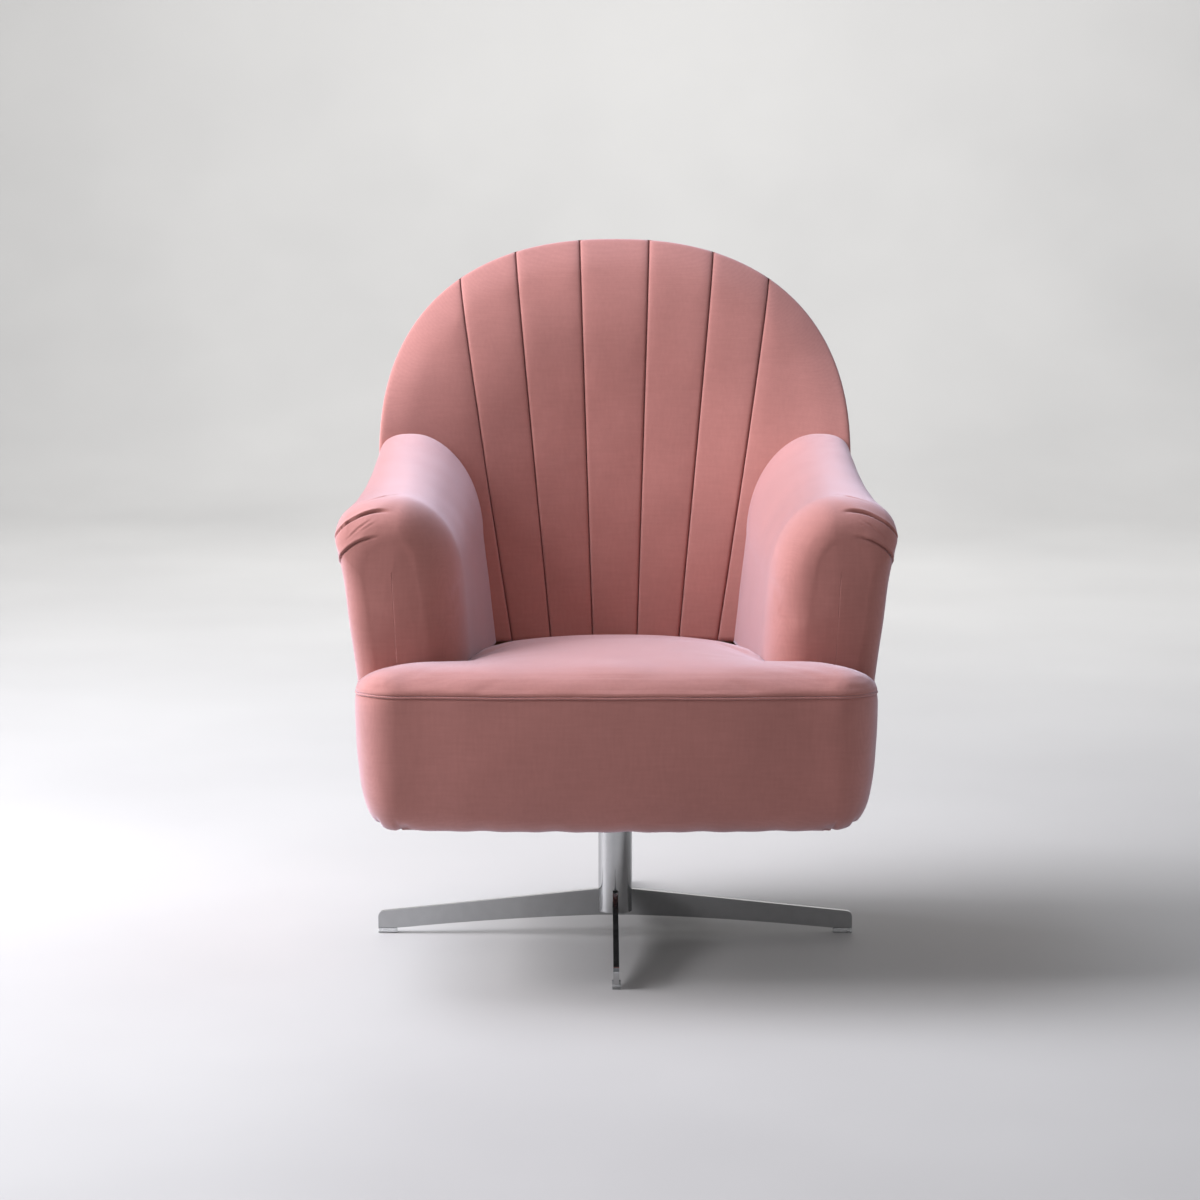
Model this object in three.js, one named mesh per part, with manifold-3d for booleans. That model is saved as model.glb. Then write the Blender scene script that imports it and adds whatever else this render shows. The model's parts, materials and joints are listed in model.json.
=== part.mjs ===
// Upholstered swivel glider chair on a crossed-blade pedestal.
// Millimetres, +Z up. The front of the chair looks along -Y. The origin is on the floor, under the column.
import * as THREE from 'three';
import { mergeVertices } from 'three/addons/utils/BufferGeometryUtils.js';
import Module from 'manifold-3d';

const wasm = await Module();
wasm.setup();

// ---- Driving dimensions ----

const GAP = 0.3; // between solids that touch on the real chair
const SIDES = 16; // round pieces are faceted with this many sides

// Pedestal
const BLADE_REACH = 350;
const BLADE_THICKNESS = 8;
const TIP_TOP = 32;
const TIP_ROUND = 9;
const TIP_UNDERSIDE = 7.5;
const HUB_TOP = 66;
const HUB_UNDERSIDE = 27;
const LAP_HEIGHT = 46.5;
const PAD_LENGTH = 28;
const PAD_WIDTH = 12;
const COLUMN_RADIUS = 25;
const COLUMN_WALL = 2;
const COLUMN_FOOT = 33;
const COLUMN_TOP = 243;
const SLOT_TOP = HUB_TOP + 2; // of the slots in the column's foot
const BUSH_LENGTH = 30;
const UPPER_BUSH_FOOT = 190;
const LOWER_BUSH_FOOT = 89;
const SHAFT_RADIUS = 16;
const SHAFT_FOOT = 86;
const SHOULDER_RADIUS = 24;
const SHOULDER_Z = COLUMN_TOP + 5;
const FLANGE_RADIUS = 42;
const SCREW_RADIUS = 4.8;
const SCREW_DEPTH = 18; // up into the spindle

// Glide mechanism
const PIVOT_Y = 95; // front and rear link pairs, either side of the column
const UPPER_PIVOT_Z = 347;
const LOWER_PIVOT_Z = 276;
const ROD_RADIUS = 6;
const LINK_RADIUS = 12;
const STEEL = 5; // thickness of the mechanism's plates
const HANGER_X = 105;
const LINK_X = HANGER_X + STEEL + 2;
const RAIL_X = LINK_X + STEEL + 2;
const RAIL_BOTTOM = 258;
const RAIL_TOP = 296;
const PLATE_Z = 261;

// Seat box
const BOX_BOTTOM = 220;
const BOX_TOP = 412;
const BOX_FRONT = -405;
const BOX_HALF_WIDTH = 358;
const CORNER_RADIUS = 60;
const WOOD = 25;
const WOOD_BOTTOM = 246;
const WOOD_TOP = 371;
const WOOD_FRONT = -350;
const WOOD_REAR = 155;
const WOOD_SIDE = 255; // inner face of the side rails
const WOOD_END = 262; // half length of the front and rear rails
const SEAT_CROWN = 466;
const SEAT_CROWN_Y = -215;
const SEAT_FALL = 44; // the seat slopes down to the back behind its crown

// Back
const BACK_BOTTOM = 413;
const ARCH_BASE = 700; // the outline is nearly straight below this height and an arch above it
const ARCH_HALF_WIDTH = 355;
const ARCH_HEIGHT = 313;
const FRONT_FACE_Y = 176; // inside face at the seat's level, on the middle line
const HEAD_WRAP = 0.4;
const BACK_LEAN = 0.24;
const REAR_FACE_Y = 406.5;
const RIM_RADIUS = 48;
const SEAMS = [34, 98, 157]; // seam distances from the middle line at SEAM_BASE
const SEAM_BASE = 430;

// Arms
const ARM_FRONT = -285;
const ARM_FRONT_CREST = 668;
const ARM_REAR_CREST = 735;
const ARM_FRONT_ROLL = 45;
const ARM_LENGTH = 400;
const ARM_MIDDLE = 302; // distance of the crest from the middle line

// ---- Solids ----

function toSolid(geometry) {
  const plain = geometry.index ? geometry.toNonIndexed() : geometry.clone();
  plain.deleteAttribute('normal');
  plain.deleteAttribute('uv');
  const merged = mergeVertices(plain, 1e-3);
  return new wasm.Manifold(new wasm.Mesh({
    numProp: 3,
    vertProperties: merged.attributes.position.array,
    triVerts: new Uint32Array(merged.index.array),
  }));
}

function toGeometry(solid) {
  const mesh = solid.getMesh();
  const geometry = new THREE.BufferGeometry();
  geometry.setAttribute('position', new THREE.BufferAttribute(new Float32Array(mesh.vertProperties), 3));
  geometry.setIndex(new THREE.BufferAttribute(new Uint32Array(mesh.triVerts), 1));
  return geometry;
}

const cut = (geometry, ...tools) =>
  toGeometry(tools.reduce((solid, tool) => solid.subtract(toSolid(tool)), toSolid(geometry)));

const join = (...geometries) => toGeometry(geometries.map(toSolid).reduce((a, b) => a.add(b)));

const common = (a, b) => toGeometry(toSolid(a).intersect(toSolid(b)));

// A closed solid through rings of equally many points. flat turns a ring's point into a 2-D one for the end
// caps. A cap whose outline has points in a straight row is a fan round its middle.
function loft(rings, flat) {
  const n = rings[0].length;
  const points = rings.flat();
  const index = [];
  for (let i = 0; i + 1 < rings.length; i++) {
    for (let j = 0; j < n; j++) {
      const a = i * n + j;
      const b = i * n + ((j + 1) % n);
      index.push(a, b, b + n, a, b + n, a + n);
    }
  }
  const cap = (ring, first, forward) => {
    const outline = ring.map(flat);
    const turn = Math.sign(THREE.ShapeUtils.area(outline));
    const faces = THREE.ShapeUtils.triangulateShape(outline.map((p) => p.clone()), []);
    if (faces.length < n - 2) {
      const middle = ring.reduce((sum, p) => sum.add(p), new THREE.Vector3()).divideScalar(n);
      points.push(middle);
      for (let j = 0; j < n; j++) {
        const [a, b] = [first + j, first + ((j + 1) % n)];
        index.push(points.length - 1, forward ? a : b, forward ? b : a);
      }
      return;
    }
    const area = faces.reduce((sum, f) => sum + THREE.ShapeUtils.area(f.map((k) => outline[k])), 0);
    const same = area * turn > 0;
    for (const [a, b, c] of faces) {
      if (same === forward) index.push(first + a, first + b, first + c);
      else index.push(first + a, first + c, first + b);
    }
  };
  cap(rings[0], 0, false);
  cap(rings.at(-1), (rings.length - 1) * n, true);
  let volume = 0;
  for (let i = 0; i < index.length; i += 3) {
    const [a, b, c] = [points[index[i]], points[index[i + 1]], points[index[i + 2]]];
    volume += a.dot(new THREE.Vector3().crossVectors(b, c));
  }
  if (volume < 0) index.reverse();
  const geometry = new THREE.BufferGeometry().setFromPoints(points);
  geometry.setIndex(index);
  return geometry;
}

const topView = (p) => new THREE.Vector2(p.x, p.y);
const frontView = (p) => new THREE.Vector2(p.x, p.z);

// A block between two opposite corners.
function block([x0, y0, z0], [x1, y1, z1]) {
  const box = new THREE.BoxGeometry(x1 - x0, y1 - y0, z1 - z0);
  return box.translate((x0 + x1) / 2, (y0 + y1) / 2, (z0 + z1) / 2);
}

// A rod along X, Y or Z between two coordinates on that axis, through the point (a, b) of the other two.
function rod(axis, radius, from, to, a, b) {
  const geometry = new THREE.CylinderGeometry(radius, radius, to - from, SIDES);
  const middle = (from + to) / 2;
  if (axis === 'x') return geometry.rotateZ(Math.PI / 2).translate(middle, a, b);
  if (axis === 'y') return geometry.translate(a, middle, b);
  return geometry.rotateX(Math.PI / 2).translate(a, b, middle);
}

// A turned piece round Z. The profile holds [radius, z] pairs.
function turned(profile) {
  const points = profile.map(([r, z]) => new THREE.Vector2(r, z));
  return new THREE.LatheGeometry(points, SIDES).rotateX(Math.PI / 2);
}

const ring = (inner, outer, z0, z1) =>
  turned([[inner, z0], [outer, z0], [outer, z1], [inner, z1], [inner, z0]]);

const shapeOf = (outline) => new THREE.Shape(outline.map(([a, b]) => new THREE.Vector2(a, b)));

// A plate of the given shape in the Y-Z plane, standing from x0 to x1.
function platePart(shape, x0, x1) {
  const depth = x1 - x0;
  const plate = new THREE.ExtrudeGeometry(shape, { depth, bevelEnabled: false, curveSegments: 8 });
  // The shape's own x, y and depth become Y, Z and X.
  const turn = new THREE.Matrix4().makeBasis(
    new THREE.Vector3(0, 1, 0), new THREE.Vector3(0, 0, 1), new THREE.Vector3(1, 0, 0));
  return plate.applyMatrix4(turn).translate(x0, 0, 0);
}

const mirrored = (geometry) => toGeometry(toSolid(geometry).mirror([1, 0, 0]));

const PAST = 20; // how far a cutting tool reaches past what it cuts
const BIG = 600; // beyond the whole chair

const mix = (a, b, t) => a + (b - a) * t;
const clamp01 = (t) => Math.min(1, Math.max(0, t));

// ---- Pedestal ----

// Side outline of one blade, as [distance from the column, z].
function bladeShape() {
  const shape = new THREE.Shape();
  const flat = BLADE_REACH - PAD_LENGTH - 2; // the underside is level over the glide
  const sag = HUB_UNDERSIDE - 4; // height that the underside's curve is drawn towards
  shape.moveTo(-BLADE_REACH, TIP_UNDERSIDE);
  shape.lineTo(-flat, TIP_UNDERSIDE);
  shape.quadraticCurveTo(-flat / 2, sag, -COLUMN_RADIUS, HUB_UNDERSIDE);
  shape.lineTo(COLUMN_RADIUS, HUB_UNDERSIDE);
  shape.quadraticCurveTo(flat / 2, sag, flat, TIP_UNDERSIDE);
  shape.lineTo(BLADE_REACH, TIP_UNDERSIDE);
  shape.lineTo(BLADE_REACH, TIP_TOP - TIP_ROUND);
  shape.quadraticCurveTo(BLADE_REACH, TIP_TOP, BLADE_REACH - TIP_ROUND, TIP_TOP + 0.8);
  shape.lineTo(COLUMN_RADIUS, HUB_TOP);
  shape.lineTo(-COLUMN_RADIUS, HUB_TOP);
  shape.lineTo(-BLADE_REACH + TIP_ROUND, TIP_TOP + 0.8);
  shape.quadraticCurveTo(-BLADE_REACH, TIP_TOP, -BLADE_REACH, TIP_TOP - TIP_ROUND);
  return shape;
}

const blade = () => platePart(bladeShape(), -BLADE_THICKNESS / 2, BLADE_THICKNESS / 2);
const LAP = BLADE_THICKNESS / 2 + GAP; // half width of the notches where the blades cross

const bladeFront = () => cut(blade(), block([-PAST, -LAP, 0], [PAST, LAP, LAP_HEIGHT]));
const bladeSide = () =>
  cut(blade().rotateZ(Math.PI / 2), block([-LAP, -PAST, LAP_HEIGHT - GAP], [LAP, PAST, HUB_TOP + PAST]));

// A clear glide under a blade's tip, on the +X side.
function footPad() {
  const shape = new THREE.Shape();
  const corner = 2;
  const [x, y] = [PAD_LENGTH / 2 - corner, PAD_WIDTH / 2 - corner];
  shape.absarc(x, y, corner, 0, Math.PI / 2);
  shape.absarc(-x, y, corner, Math.PI / 2, Math.PI);
  shape.absarc(-x, -y, corner, Math.PI, 1.5 * Math.PI);
  shape.absarc(x, -y, corner, 1.5 * Math.PI, 2 * Math.PI);
  const height = TIP_UNDERSIDE - GAP;
  const geometry = new THREE.ExtrudeGeometry(shape, { depth: height, bevelEnabled: false, curveSegments: 3 });
  return geometry.translate(BLADE_REACH - PAD_LENGTH / 2, 0, 0);
}

// The tube is slotted at its foot, over both blades.
function columnTube() {
  const half = BLADE_THICKNESS / 2 + GAP + 0.1;
  const reach = COLUMN_RADIUS + PAST;
  const tube = ring(COLUMN_RADIUS - COLUMN_WALL, COLUMN_RADIUS, COLUMN_FOOT, COLUMN_TOP);
  const slotX = block([-reach, -half, 0], [reach, half, SLOT_TOP]);
  const slotY = block([-half, -reach, 0], [half, reach, SLOT_TOP]);
  return cut(tube, slotX, slotY);
}

const BUSH_INNER = SHAFT_RADIUS + 0.4;
const BUSH_OUTER = COLUMN_RADIUS - COLUMN_WALL - GAP;

// The flanged bush carries the spindle's shoulder.
function upperBush() {
  const flange = COLUMN_TOP + GAP;
  const rim = COLUMN_RADIUS - GAP;
  return turned([
    [BUSH_INNER, UPPER_BUSH_FOOT], [BUSH_OUTER, UPPER_BUSH_FOOT], [BUSH_OUTER, flange], [rim, flange],
    [rim, SHOULDER_Z - GAP], [BUSH_INNER, SHOULDER_Z - GAP], [BUSH_INNER, UPPER_BUSH_FOOT],
  ]);
}

const lowerBush = () => ring(BUSH_INNER, BUSH_OUTER, LOWER_BUSH_FOOT, LOWER_BUSH_FOOT + BUSH_LENGTH);

// ---- Swivel ----

// A stepped shaft with a threaded hole up its foot and a flange under the top plate.
function spindle() {
  const hole = SCREW_RADIUS + 0.4;
  const holeTop = SHAFT_FOOT + SCREW_DEPTH + 4;
  const flange = SHOULDER_Z + 6;
  return turned([
    [0, holeTop], [hole, holeTop], [hole, SHAFT_FOOT], [SHAFT_RADIUS, SHAFT_FOOT],
    [SHAFT_RADIUS, SHOULDER_Z], [SHOULDER_RADIUS, SHOULDER_Z], [SHOULDER_RADIUS, flange],
    [FLANGE_RADIUS, flange], [FLANGE_RADIUS, PLATE_Z - GAP], [0, PLATE_Z - GAP],
  ]);
}

const WASHER_FOOT = SHAFT_FOOT - 3.4;
const retainingWasher = () => ring(SCREW_RADIUS + 0.8, BUSH_OUTER - 2, WASHER_FOOT, SHAFT_FOOT - GAP);

function retainingScrew() {
  const seat = WASHER_FOOT - GAP;
  const head = { radius: 9, foot: seat - 5.5 };
  const tip = SHAFT_FOOT + SCREW_DEPTH;
  return turned([
    [0, head.foot], [head.radius, head.foot], [head.radius, seat], [SCREW_RADIUS, seat], [SCREW_RADIUS, tip],
    [0, tip],
  ]);
}

function topPlate() {
  const side = HANGER_X + STEEL + 1;
  const end = 72;
  const plate = block([-side, -end, PLATE_Z], [side, end, PLATE_Z + STEEL]);
  return cut(plate, rod('z', 6, PLATE_Z - PAST, PLATE_Z + PAST, 0, 0));
}

// A hole for a pivot rod, through a plate that starts at x.
const pivotHole = (x, y, z) => rod('x', ROD_RADIUS + GAP, x - PAST, x + STEEL + PAST, y, z);

// An upright plate with an arm towards each upper pivot. Its foot stands on the top plate, and its waist is
// narrow enough for the lower rods at both ends of the glide.
function hanger() {
  const half = [
    [38, PLATE_Z + STEEL + GAP], [48, UPPER_PIVOT_Z - 16], [PIVOT_Y + 13, UPPER_PIVOT_Z - 12],
    [PIVOT_Y + 13, UPPER_PIVOT_Z + 14],
  ];
  const other = half.map(([y, z]) => [-y, z]).reverse();
  const plate = platePart(shapeOf([...half, ...other]), HANGER_X, HANGER_X + STEEL);
  return cut(plate, ...[-PIVOT_Y, PIVOT_Y].map((y) => pivotHole(HANGER_X, y, UPPER_PIVOT_Z)));
}

const UPPER_ROD_END = RAIL_X - 0.8;
const upperRod = (y) => rod('x', ROD_RADIUS, -UPPER_ROD_END, UPPER_ROD_END, y, UPPER_PIVOT_Z);

// ---- Links ----

function link(y) {
  const shape = new THREE.Shape();
  shape.absarc(y, UPPER_PIVOT_Z, LINK_RADIUS, 0, Math.PI, false);
  shape.absarc(y, LOWER_PIVOT_Z, LINK_RADIUS, Math.PI, 2 * Math.PI, false);
  const bar = platePart(shape, LINK_X, LINK_X + STEEL);
  return cut(bar, ...[UPPER_PIVOT_Z, LOWER_PIVOT_Z].map((z) => pivotHole(LINK_X, y, z)));
}

const LOWER_ROD_END = RAIL_X + STEEL + 6;
const lowerRod = (y) => rod('x', ROD_RADIUS, -LOWER_ROD_END, LOWER_ROD_END, y, LOWER_PIVOT_Z);

// ---- Seat frame ----

const BOLT_Z = (RAIL_BOTTOM + RAIL_TOP) / 2;
const BOLT_X = RAIL_X + STEEL + 22;
const BOLT_RADIUS = 4;
const BOLT_HOLE = BOLT_RADIUS + 0.5;
const TAB_WIDTH = 46;
const RAIL_FRONT = WOOD_FRONT + WOOD + GAP;
const RAIL_REAR = WOOD_REAR - GAP;

// A steel rail with a tab turned outwards at each end, bolted to the front and rear seat rails.
function glideRail() {
  const web = block([RAIL_X, RAIL_FRONT, RAIL_BOTTOM], [RAIL_X + STEEL, RAIL_REAR, RAIL_TOP]);
  const tab = (y0, y1) => block([RAIL_X, y0, RAIL_BOTTOM], [RAIL_X + TAB_WIDTH, y1, RAIL_TOP]);
  const joined = join(web, tab(RAIL_FRONT, RAIL_FRONT + STEEL), tab(RAIL_REAR - STEEL, RAIL_REAR));
  const pivots = [-PIVOT_Y, PIVOT_Y].map((y) => pivotHole(RAIL_X, y, LOWER_PIVOT_Z));
  const boltHoles = rod('y', BOLT_HOLE, RAIL_FRONT - PAST, RAIL_REAR + PAST, BOLT_X, BOLT_Z);
  return cut(joined, ...pivots, boltHoles);
}

// The bolt's head is inside the frame and its shank passes through the tab and the wood.
function railBolt(end) {
  const face = end < 0 ? RAIL_FRONT + STEEL + GAP : RAIL_REAR - STEEL - GAP;
  const tip = end < 0 ? WOOD_FRONT + 3 : WOOD_REAR + WOOD - 3;
  const shank = rod('y', BOLT_RADIUS, Math.min(face, tip), Math.max(face, tip), BOLT_X, BOLT_Z);
  const headHeight = 5.5;
  const hexagon = new THREE.CylinderGeometry(2 * BOLT_RADIUS, 2 * BOLT_RADIUS, headHeight, 6);
  return join(shank, hexagon.translate(BOLT_X, face - (end * headHeight) / 2, BOLT_Z));
}

function crossRail(y) {
  const rail = block([-WOOD_END, y, WOOD_BOTTOM], [WOOD_END, y + WOOD, WOOD_TOP]);
  const hole = (x) => rod('y', BOLT_HOLE, y - PAST, y + WOOD + PAST, x, BOLT_Z);
  return cut(rail, hole(-BOLT_X), hole(BOLT_X));
}

const sideRail = () =>
  block([WOOD_SIDE, WOOD_FRONT + WOOD + GAP, WOOD_BOTTOM], [WOOD_SIDE + WOOD, WOOD_REAR - GAP, WOOD_TOP]);

const STRAPS = 5;
const STRAP_PITCH = 82;
const STRAP_WIDTH = 50;
const STRAP_THICKNESS = 1.8;

// Straps are counted from 1, left to right.
function webbingStrap(i) {
  const left = (i - (STRAPS + 1) / 2) * STRAP_PITCH - STRAP_WIDTH / 2;
  const foot = WOOD_TOP + GAP;
  return block([left, WOOD_FRONT, foot], [left + STRAP_WIDTH, WOOD_REAR + WOOD, foot + STRAP_THICKNESS]);
}

// ---- Back surfaces ----

// Half width of the back at a height.
function backHalfWidth(z) {
  if (z < ARCH_BASE) return ARCH_HALF_WIDTH - (ARCH_BASE - z) * 0.035;
  return ARCH_HALF_WIDTH * (1 - ((z - ARCH_BASE) / ARCH_HEIGHT) ** 2.4) ** (1 / 2.3);
}

// Height of the back's outline over a distance from the middle line.
const backTop = (x) =>
  ARCH_BASE + ARCH_HEIGHT * Math.max(0, 1 - (Math.abs(x) / ARCH_HALF_WIDTH) ** 2.3) ** (1 / 2.4);

const bow = (x, depth, radius) => depth * (1 - Math.sqrt(Math.max(0, 1 - (x / radius) ** 2)));

// The back wraps round the sitter between the arms and flattens above them.
const wrapAt = (z) => mix(1, HEAD_WRAP, clamp01((z - 645) / 235) ** 1.5);
const insideFace = (x, z) => FRONT_FACE_Y + BACK_LEAN * (z - 420) - wrapAt(z) * bow(x, 200, 370);
const rearFace = (x, z) => (
  REAR_FACE_Y - 105 * (Math.max(0, 1000 - z) / 590) ** 1.6 - wrapAt(z) * bow(x, 300, 420)
);
const middleFace = (x, z) => (insideFace(x, z) + rearFace(x, z)) / 2;

// How much of its full thickness the back has near its rolled rim, from 0 on the outline to 1 inside it.
function rimShare(x, z) {
  const across = Math.max(0, backHalfWidth(z) - Math.abs(x));
  const up = Math.max(0, backTop(x) - z);
  if (across === 0 || up === 0) return 0;
  const inset = Math.min(1, (across * up) / Math.hypot(across, up) / RIM_RADIUS);
  return Math.sqrt(1 - (1 - inset) ** 2);
}

const frontSkin = (x, z) => mix(middleFace(x, z), insideFace(x, z), rimShare(x, z));
const rearSkin = (x, z) => mix(middleFace(x, z), rearFace(x, z), rimShare(x, z));

const BACK_LEVELS = [413, 540, 640, 710, 775, 830, 875, 915, 950, 975, 993, 1005, 1011.5];
const ACROSS = 12; // facets across the back

// A layer of the back between two faces, which are functions of (x, z). grow adds to it on every side.
function backLayer(front, rear, grow = 0) {
  const rings = BACK_LEVELS.map((z, level) => {
    const halfWidth = backHalfWidth(z);
    const lift = level === BACK_LEVELS.length - 1 ? grow : 0;
    const points = [];
    const add = (u, face, push) => {
      const x = halfWidth * Math.sin((u * Math.PI) / 2);
      points.push(new THREE.Vector3(x * (1 + grow / halfWidth), face(x, z) + push, z + lift));
    };
    for (let i = 0; i <= ACROSS; i++) add((2 * i) / ACROSS - 1, front, -grow);
    for (let i = ACROSS; i >= 0; i--) add((2 * i) / ACROSS - 1, rear, grow);
    return points;
  });
  return loft(rings, topView);
}

const SKIN = 0.4; // keeps a rim that thins out to nothing a little solid
const frontLimit = (x, z) => frontSkin(x, z) - SKIN;
const frontHalf = () => backLayer(frontLimit, (x, z) => middleFace(x, z) - GAP);
const frontCutter = () => backLayer((x, z) => frontLimit(x, z) - PAST, (x, z) => middleFace(x, z) + GAP, 2);
const wholeBack = (grow) => backLayer(frontLimit, (x, z) => rearSkin(x, z) + SKIN, grow);

const SHELL_THICKNESS = 10;
const SHELL_INSET = 34; // from the back's outline
const TONGUE_HALF_WIDTH = 190;
const TONGUE_LEVELS = [250, 402];
const SHELL_LEVELS = [416, 500, 590, 660, 710, 760, 805, 845, 880, 910, 935, 952];

// The bent plywood shell, with a tongue that reaches down into the seat box.
function backShell(grow) {
  const levels = [...TONGUE_LEVELS, ...SHELL_LEVELS];
  const push = SHELL_THICKNESS / 2 + grow;
  const rings = levels.map((z, level) => {
    const inTongue = level < TONGUE_LEVELS.length;
    const halfWidth = inTongue ? TONGUE_HALF_WIDTH : backHalfWidth(z + SHELL_INSET) - SHELL_INSET;
    const end = grow * (level === levels.length - 1 ? 1 : 0) - grow * (level === 0 ? 1 : 0);
    const points = [];
    for (const side of [-1, 1]) {
      for (let i = 0; i <= ACROSS; i++) {
        const x = halfWidth * ((2 * i) / ACROSS - 1) * -side;
        const y = middleFace(x, Math.max(z, BOX_TOP - 7)) + side * push;
        points.push(new THREE.Vector3(x * (1 + grow / halfWidth), y, z + end));
      }
    }
    return points;
  });
  return loft(rings, topView);
}

const seamX = (seam, z) => seam * (1 + (z - SEAM_BASE) / 1000);

// The part of the back between two seams, each a distance from the middle line at SEAM_BASE, or far outside.
function seamWedge(left, right) {
  const low = BACK_BOTTOM - PAST;
  const high = ARCH_BASE + ARCH_HEIGHT + PAST;
  const shape = shapeOf([
    [seamX(left, low) + GAP, low], [seamX(right, low) - GAP, low],
    [seamX(right, high) - GAP, high], [seamX(left, high) + GAP, high],
  ]);
  const wedge = new THREE.ExtrudeGeometry(shape, { depth: 2 * BIG, bevelEnabled: false });
  return wedge.rotateX(Math.PI / 2).translate(0, BIG, 0);
}

// ---- Arms, on the +X side ----

// Distance of the arm's outer face from the middle line. t runs from 0 at the arm's front to 1 at its rear.
function armOuter(z, t) {
  const front = 360 + 0.14 * (z - 416) + 6 * clamp01((z - 540) / 80) ** 2;
  return mix(backHalfWidth(Math.min(z, ARCH_BASE)), front, Math.max(0, 1 - t) ** 1.5);
}
const armInner = (z, t) => mix(204, 174, t ** 1.4) + mix(0.07, 0.13, t) * (z - 420);
const armCrest = (t) => mix(ARM_FRONT_CREST, ARM_REAR_CREST, t * t);

// A section point at (x, z) goes back from the arm's front plane to the middle of the back.
const armPlace = (x, z, t) => new THREE.Vector3(x, mix(ARM_FRONT, middleFace(x, z), t), z);

// Inset of a face whose edge is rolled with the given radius, at a distance behind the front plane.
function roll(distance, radius) {
  const share = clamp01(distance / radius);
  return radius * (1 - Math.sqrt(1 - (1 - share) ** 2));
}

// Outline of the arm in a plane across it: inner side, rounded top, outer side.
function armSection(t) {
  const behind = t * ARM_LENGTH;
  const crest = armCrest(t) - roll(behind, 40);
  const inward = roll(behind, ARM_FRONT_ROLL);
  const outward = roll(behind, 24);
  const innerFall = mix(110, 150, t); // height of the rounded top, on its inner and its outer half
  const outerFall = mix(50, 44, t);
  const points = [];
  const upTo = (side, fall, share) => {
    const z = mix(BACK_BOTTOM, crest - fall, share);
    points.push([side(z), z]);
  };
  // One point of the rounded top: turn is 0 where it leaves the side and 1 on the crest.
  const over = (side, fall, turn, power) => {
    const a = turn * (Math.PI / 2);
    const z = crest - fall * (1 - Math.sin(a) ** power);
    points.push([mix(ARM_MIDDLE, side(crest - fall), Math.cos(a) ** power), z]);
  };
  const innerSide = (z) => armInner(z, t) + inward;
  const outerSide = (z) => armOuter(z, t) - outward;
  for (const share of [0, 0.4, 0.75]) upTo(innerSide, innerFall, share);
  for (let i = 0; i <= 5; i++) over(innerSide, innerFall, i / 5, 1.05);
  for (let i = 4; i >= 0; i--) over(outerSide, outerFall, i / 5, 0.85);
  for (const share of [0.5, 0]) upTo(outerSide, outerFall, share);
  return points;
}

const ARM_STATIONS = [0, 0.012, 0.035, 0.065, 0.115, 0.25, 0.4, 0.55, 0.7, 0.85, 1];

function wholeArm() {
  return loft(ARM_STATIONS.map((t) => armSection(t).map(([x, z]) => armPlace(x, z, t))), frontView);
}

// A panel that follows the arm's outer face, between two depths under it.
function sidePanel(outerDepth, innerDepth, firstT, lastT, below, lift = 0) {
  const rings = [];
  for (let i = 0; i <= 6; i++) {
    const t = mix(firstT, lastT, i / 6);
    const low = BACK_BOTTOM + lift;
    const high = armCrest(t) - below;
    rings.push([[innerDepth, low], [innerDepth, high], [outerDepth, high], [outerDepth, low]]
      .map(([depth, z]) => armPlace(armOuter(z, t) - depth, z, t)));
  }
  return loft(rings, frontView);
}

const COVER_DEPTH = 6;
const PANEL_DEPTH = 18.4;
const PANEL_BELOW = 78;
const BACK_CLEARANCE = 0.6;

const sideCover = () => sidePanel(0, COVER_DEPTH, 0.1, 1, PANEL_BELOW);
const armFrame = () => cut(
  sidePanel(COVER_DEPTH, PANEL_DEPTH, 0.13, 0.97, PANEL_BELOW + 8, 0.5),
  sidePanel(-6, COVER_DEPTH + 0.5, 0.1, 1, PANEL_BELOW, -3));
const armPad = () =>
  cut(wholeArm(), sidePanel(-9, PANEL_DEPTH + 2, 0.09, 1.02, PANEL_BELOW - 0.5, -3));

// ---- Seat box ----

// Right half of the box's top outline, from the front's middle round to the rear's middle.
function boxHalfOutline() {
  const points = [];
  const bowOf = (x) => BOX_FRONT + 12 * (x / 300) ** 2;
  for (const x of [0, 100, 200, 280]) points.push([x, bowOf(x)]);
  const cx = BOX_HALF_WIDTH - CORNER_RADIUS;
  const cy = bowOf(290) + CORNER_RADIUS;
  for (let i = 1; i <= 5; i++) {
    const a = (i / 5) * (Math.PI / 2);
    points.push([cx + CORNER_RADIUS * Math.sin(a), cy - CORNER_RADIUS * Math.cos(a)]);
  }
  const rearCorner = backHalfWidth(BOX_TOP);
  points.push([357.5, -262], [354, -140], [349, -20], [rearCorner, middleFace(rearCorner, BOX_TOP)]);
  const rearSteps = 9;
  for (let i = rearSteps - 1; i >= 0; i--) {
    const x = rearCorner * Math.sin(((i / rearSteps) * Math.PI) / 2);
    points.push([x, rearSkin(x, BACK_BOTTOM)]);
  }
  return points;
}

function boxOutline() {
  const half = boxHalfOutline();
  const other = half.slice(1, -1).reverse().map(([x, y]) => [-x, y]);
  return [...half, ...other].map(([x, y]) => new THREE.Vector2(x, y));
}

// The outline's points moved inwards by a distance. Past the corners' own reach it shrinks as a whole.
function inset(outline, distance) {
  const square = Math.min(distance, 40);
  const shrink = 1 - (distance - square) / BOX_HALF_WIDTH;
  return outline.map((p, i) => {
    const before = outline.at(i - 1);
    const after = outline[(i + 1) % outline.length];
    const along = after.clone().sub(before).normalize();
    return p.clone().add(new THREE.Vector2(-along.y, along.x).multiplyScalar(square)).multiplyScalar(shrink);
  });
}

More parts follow.
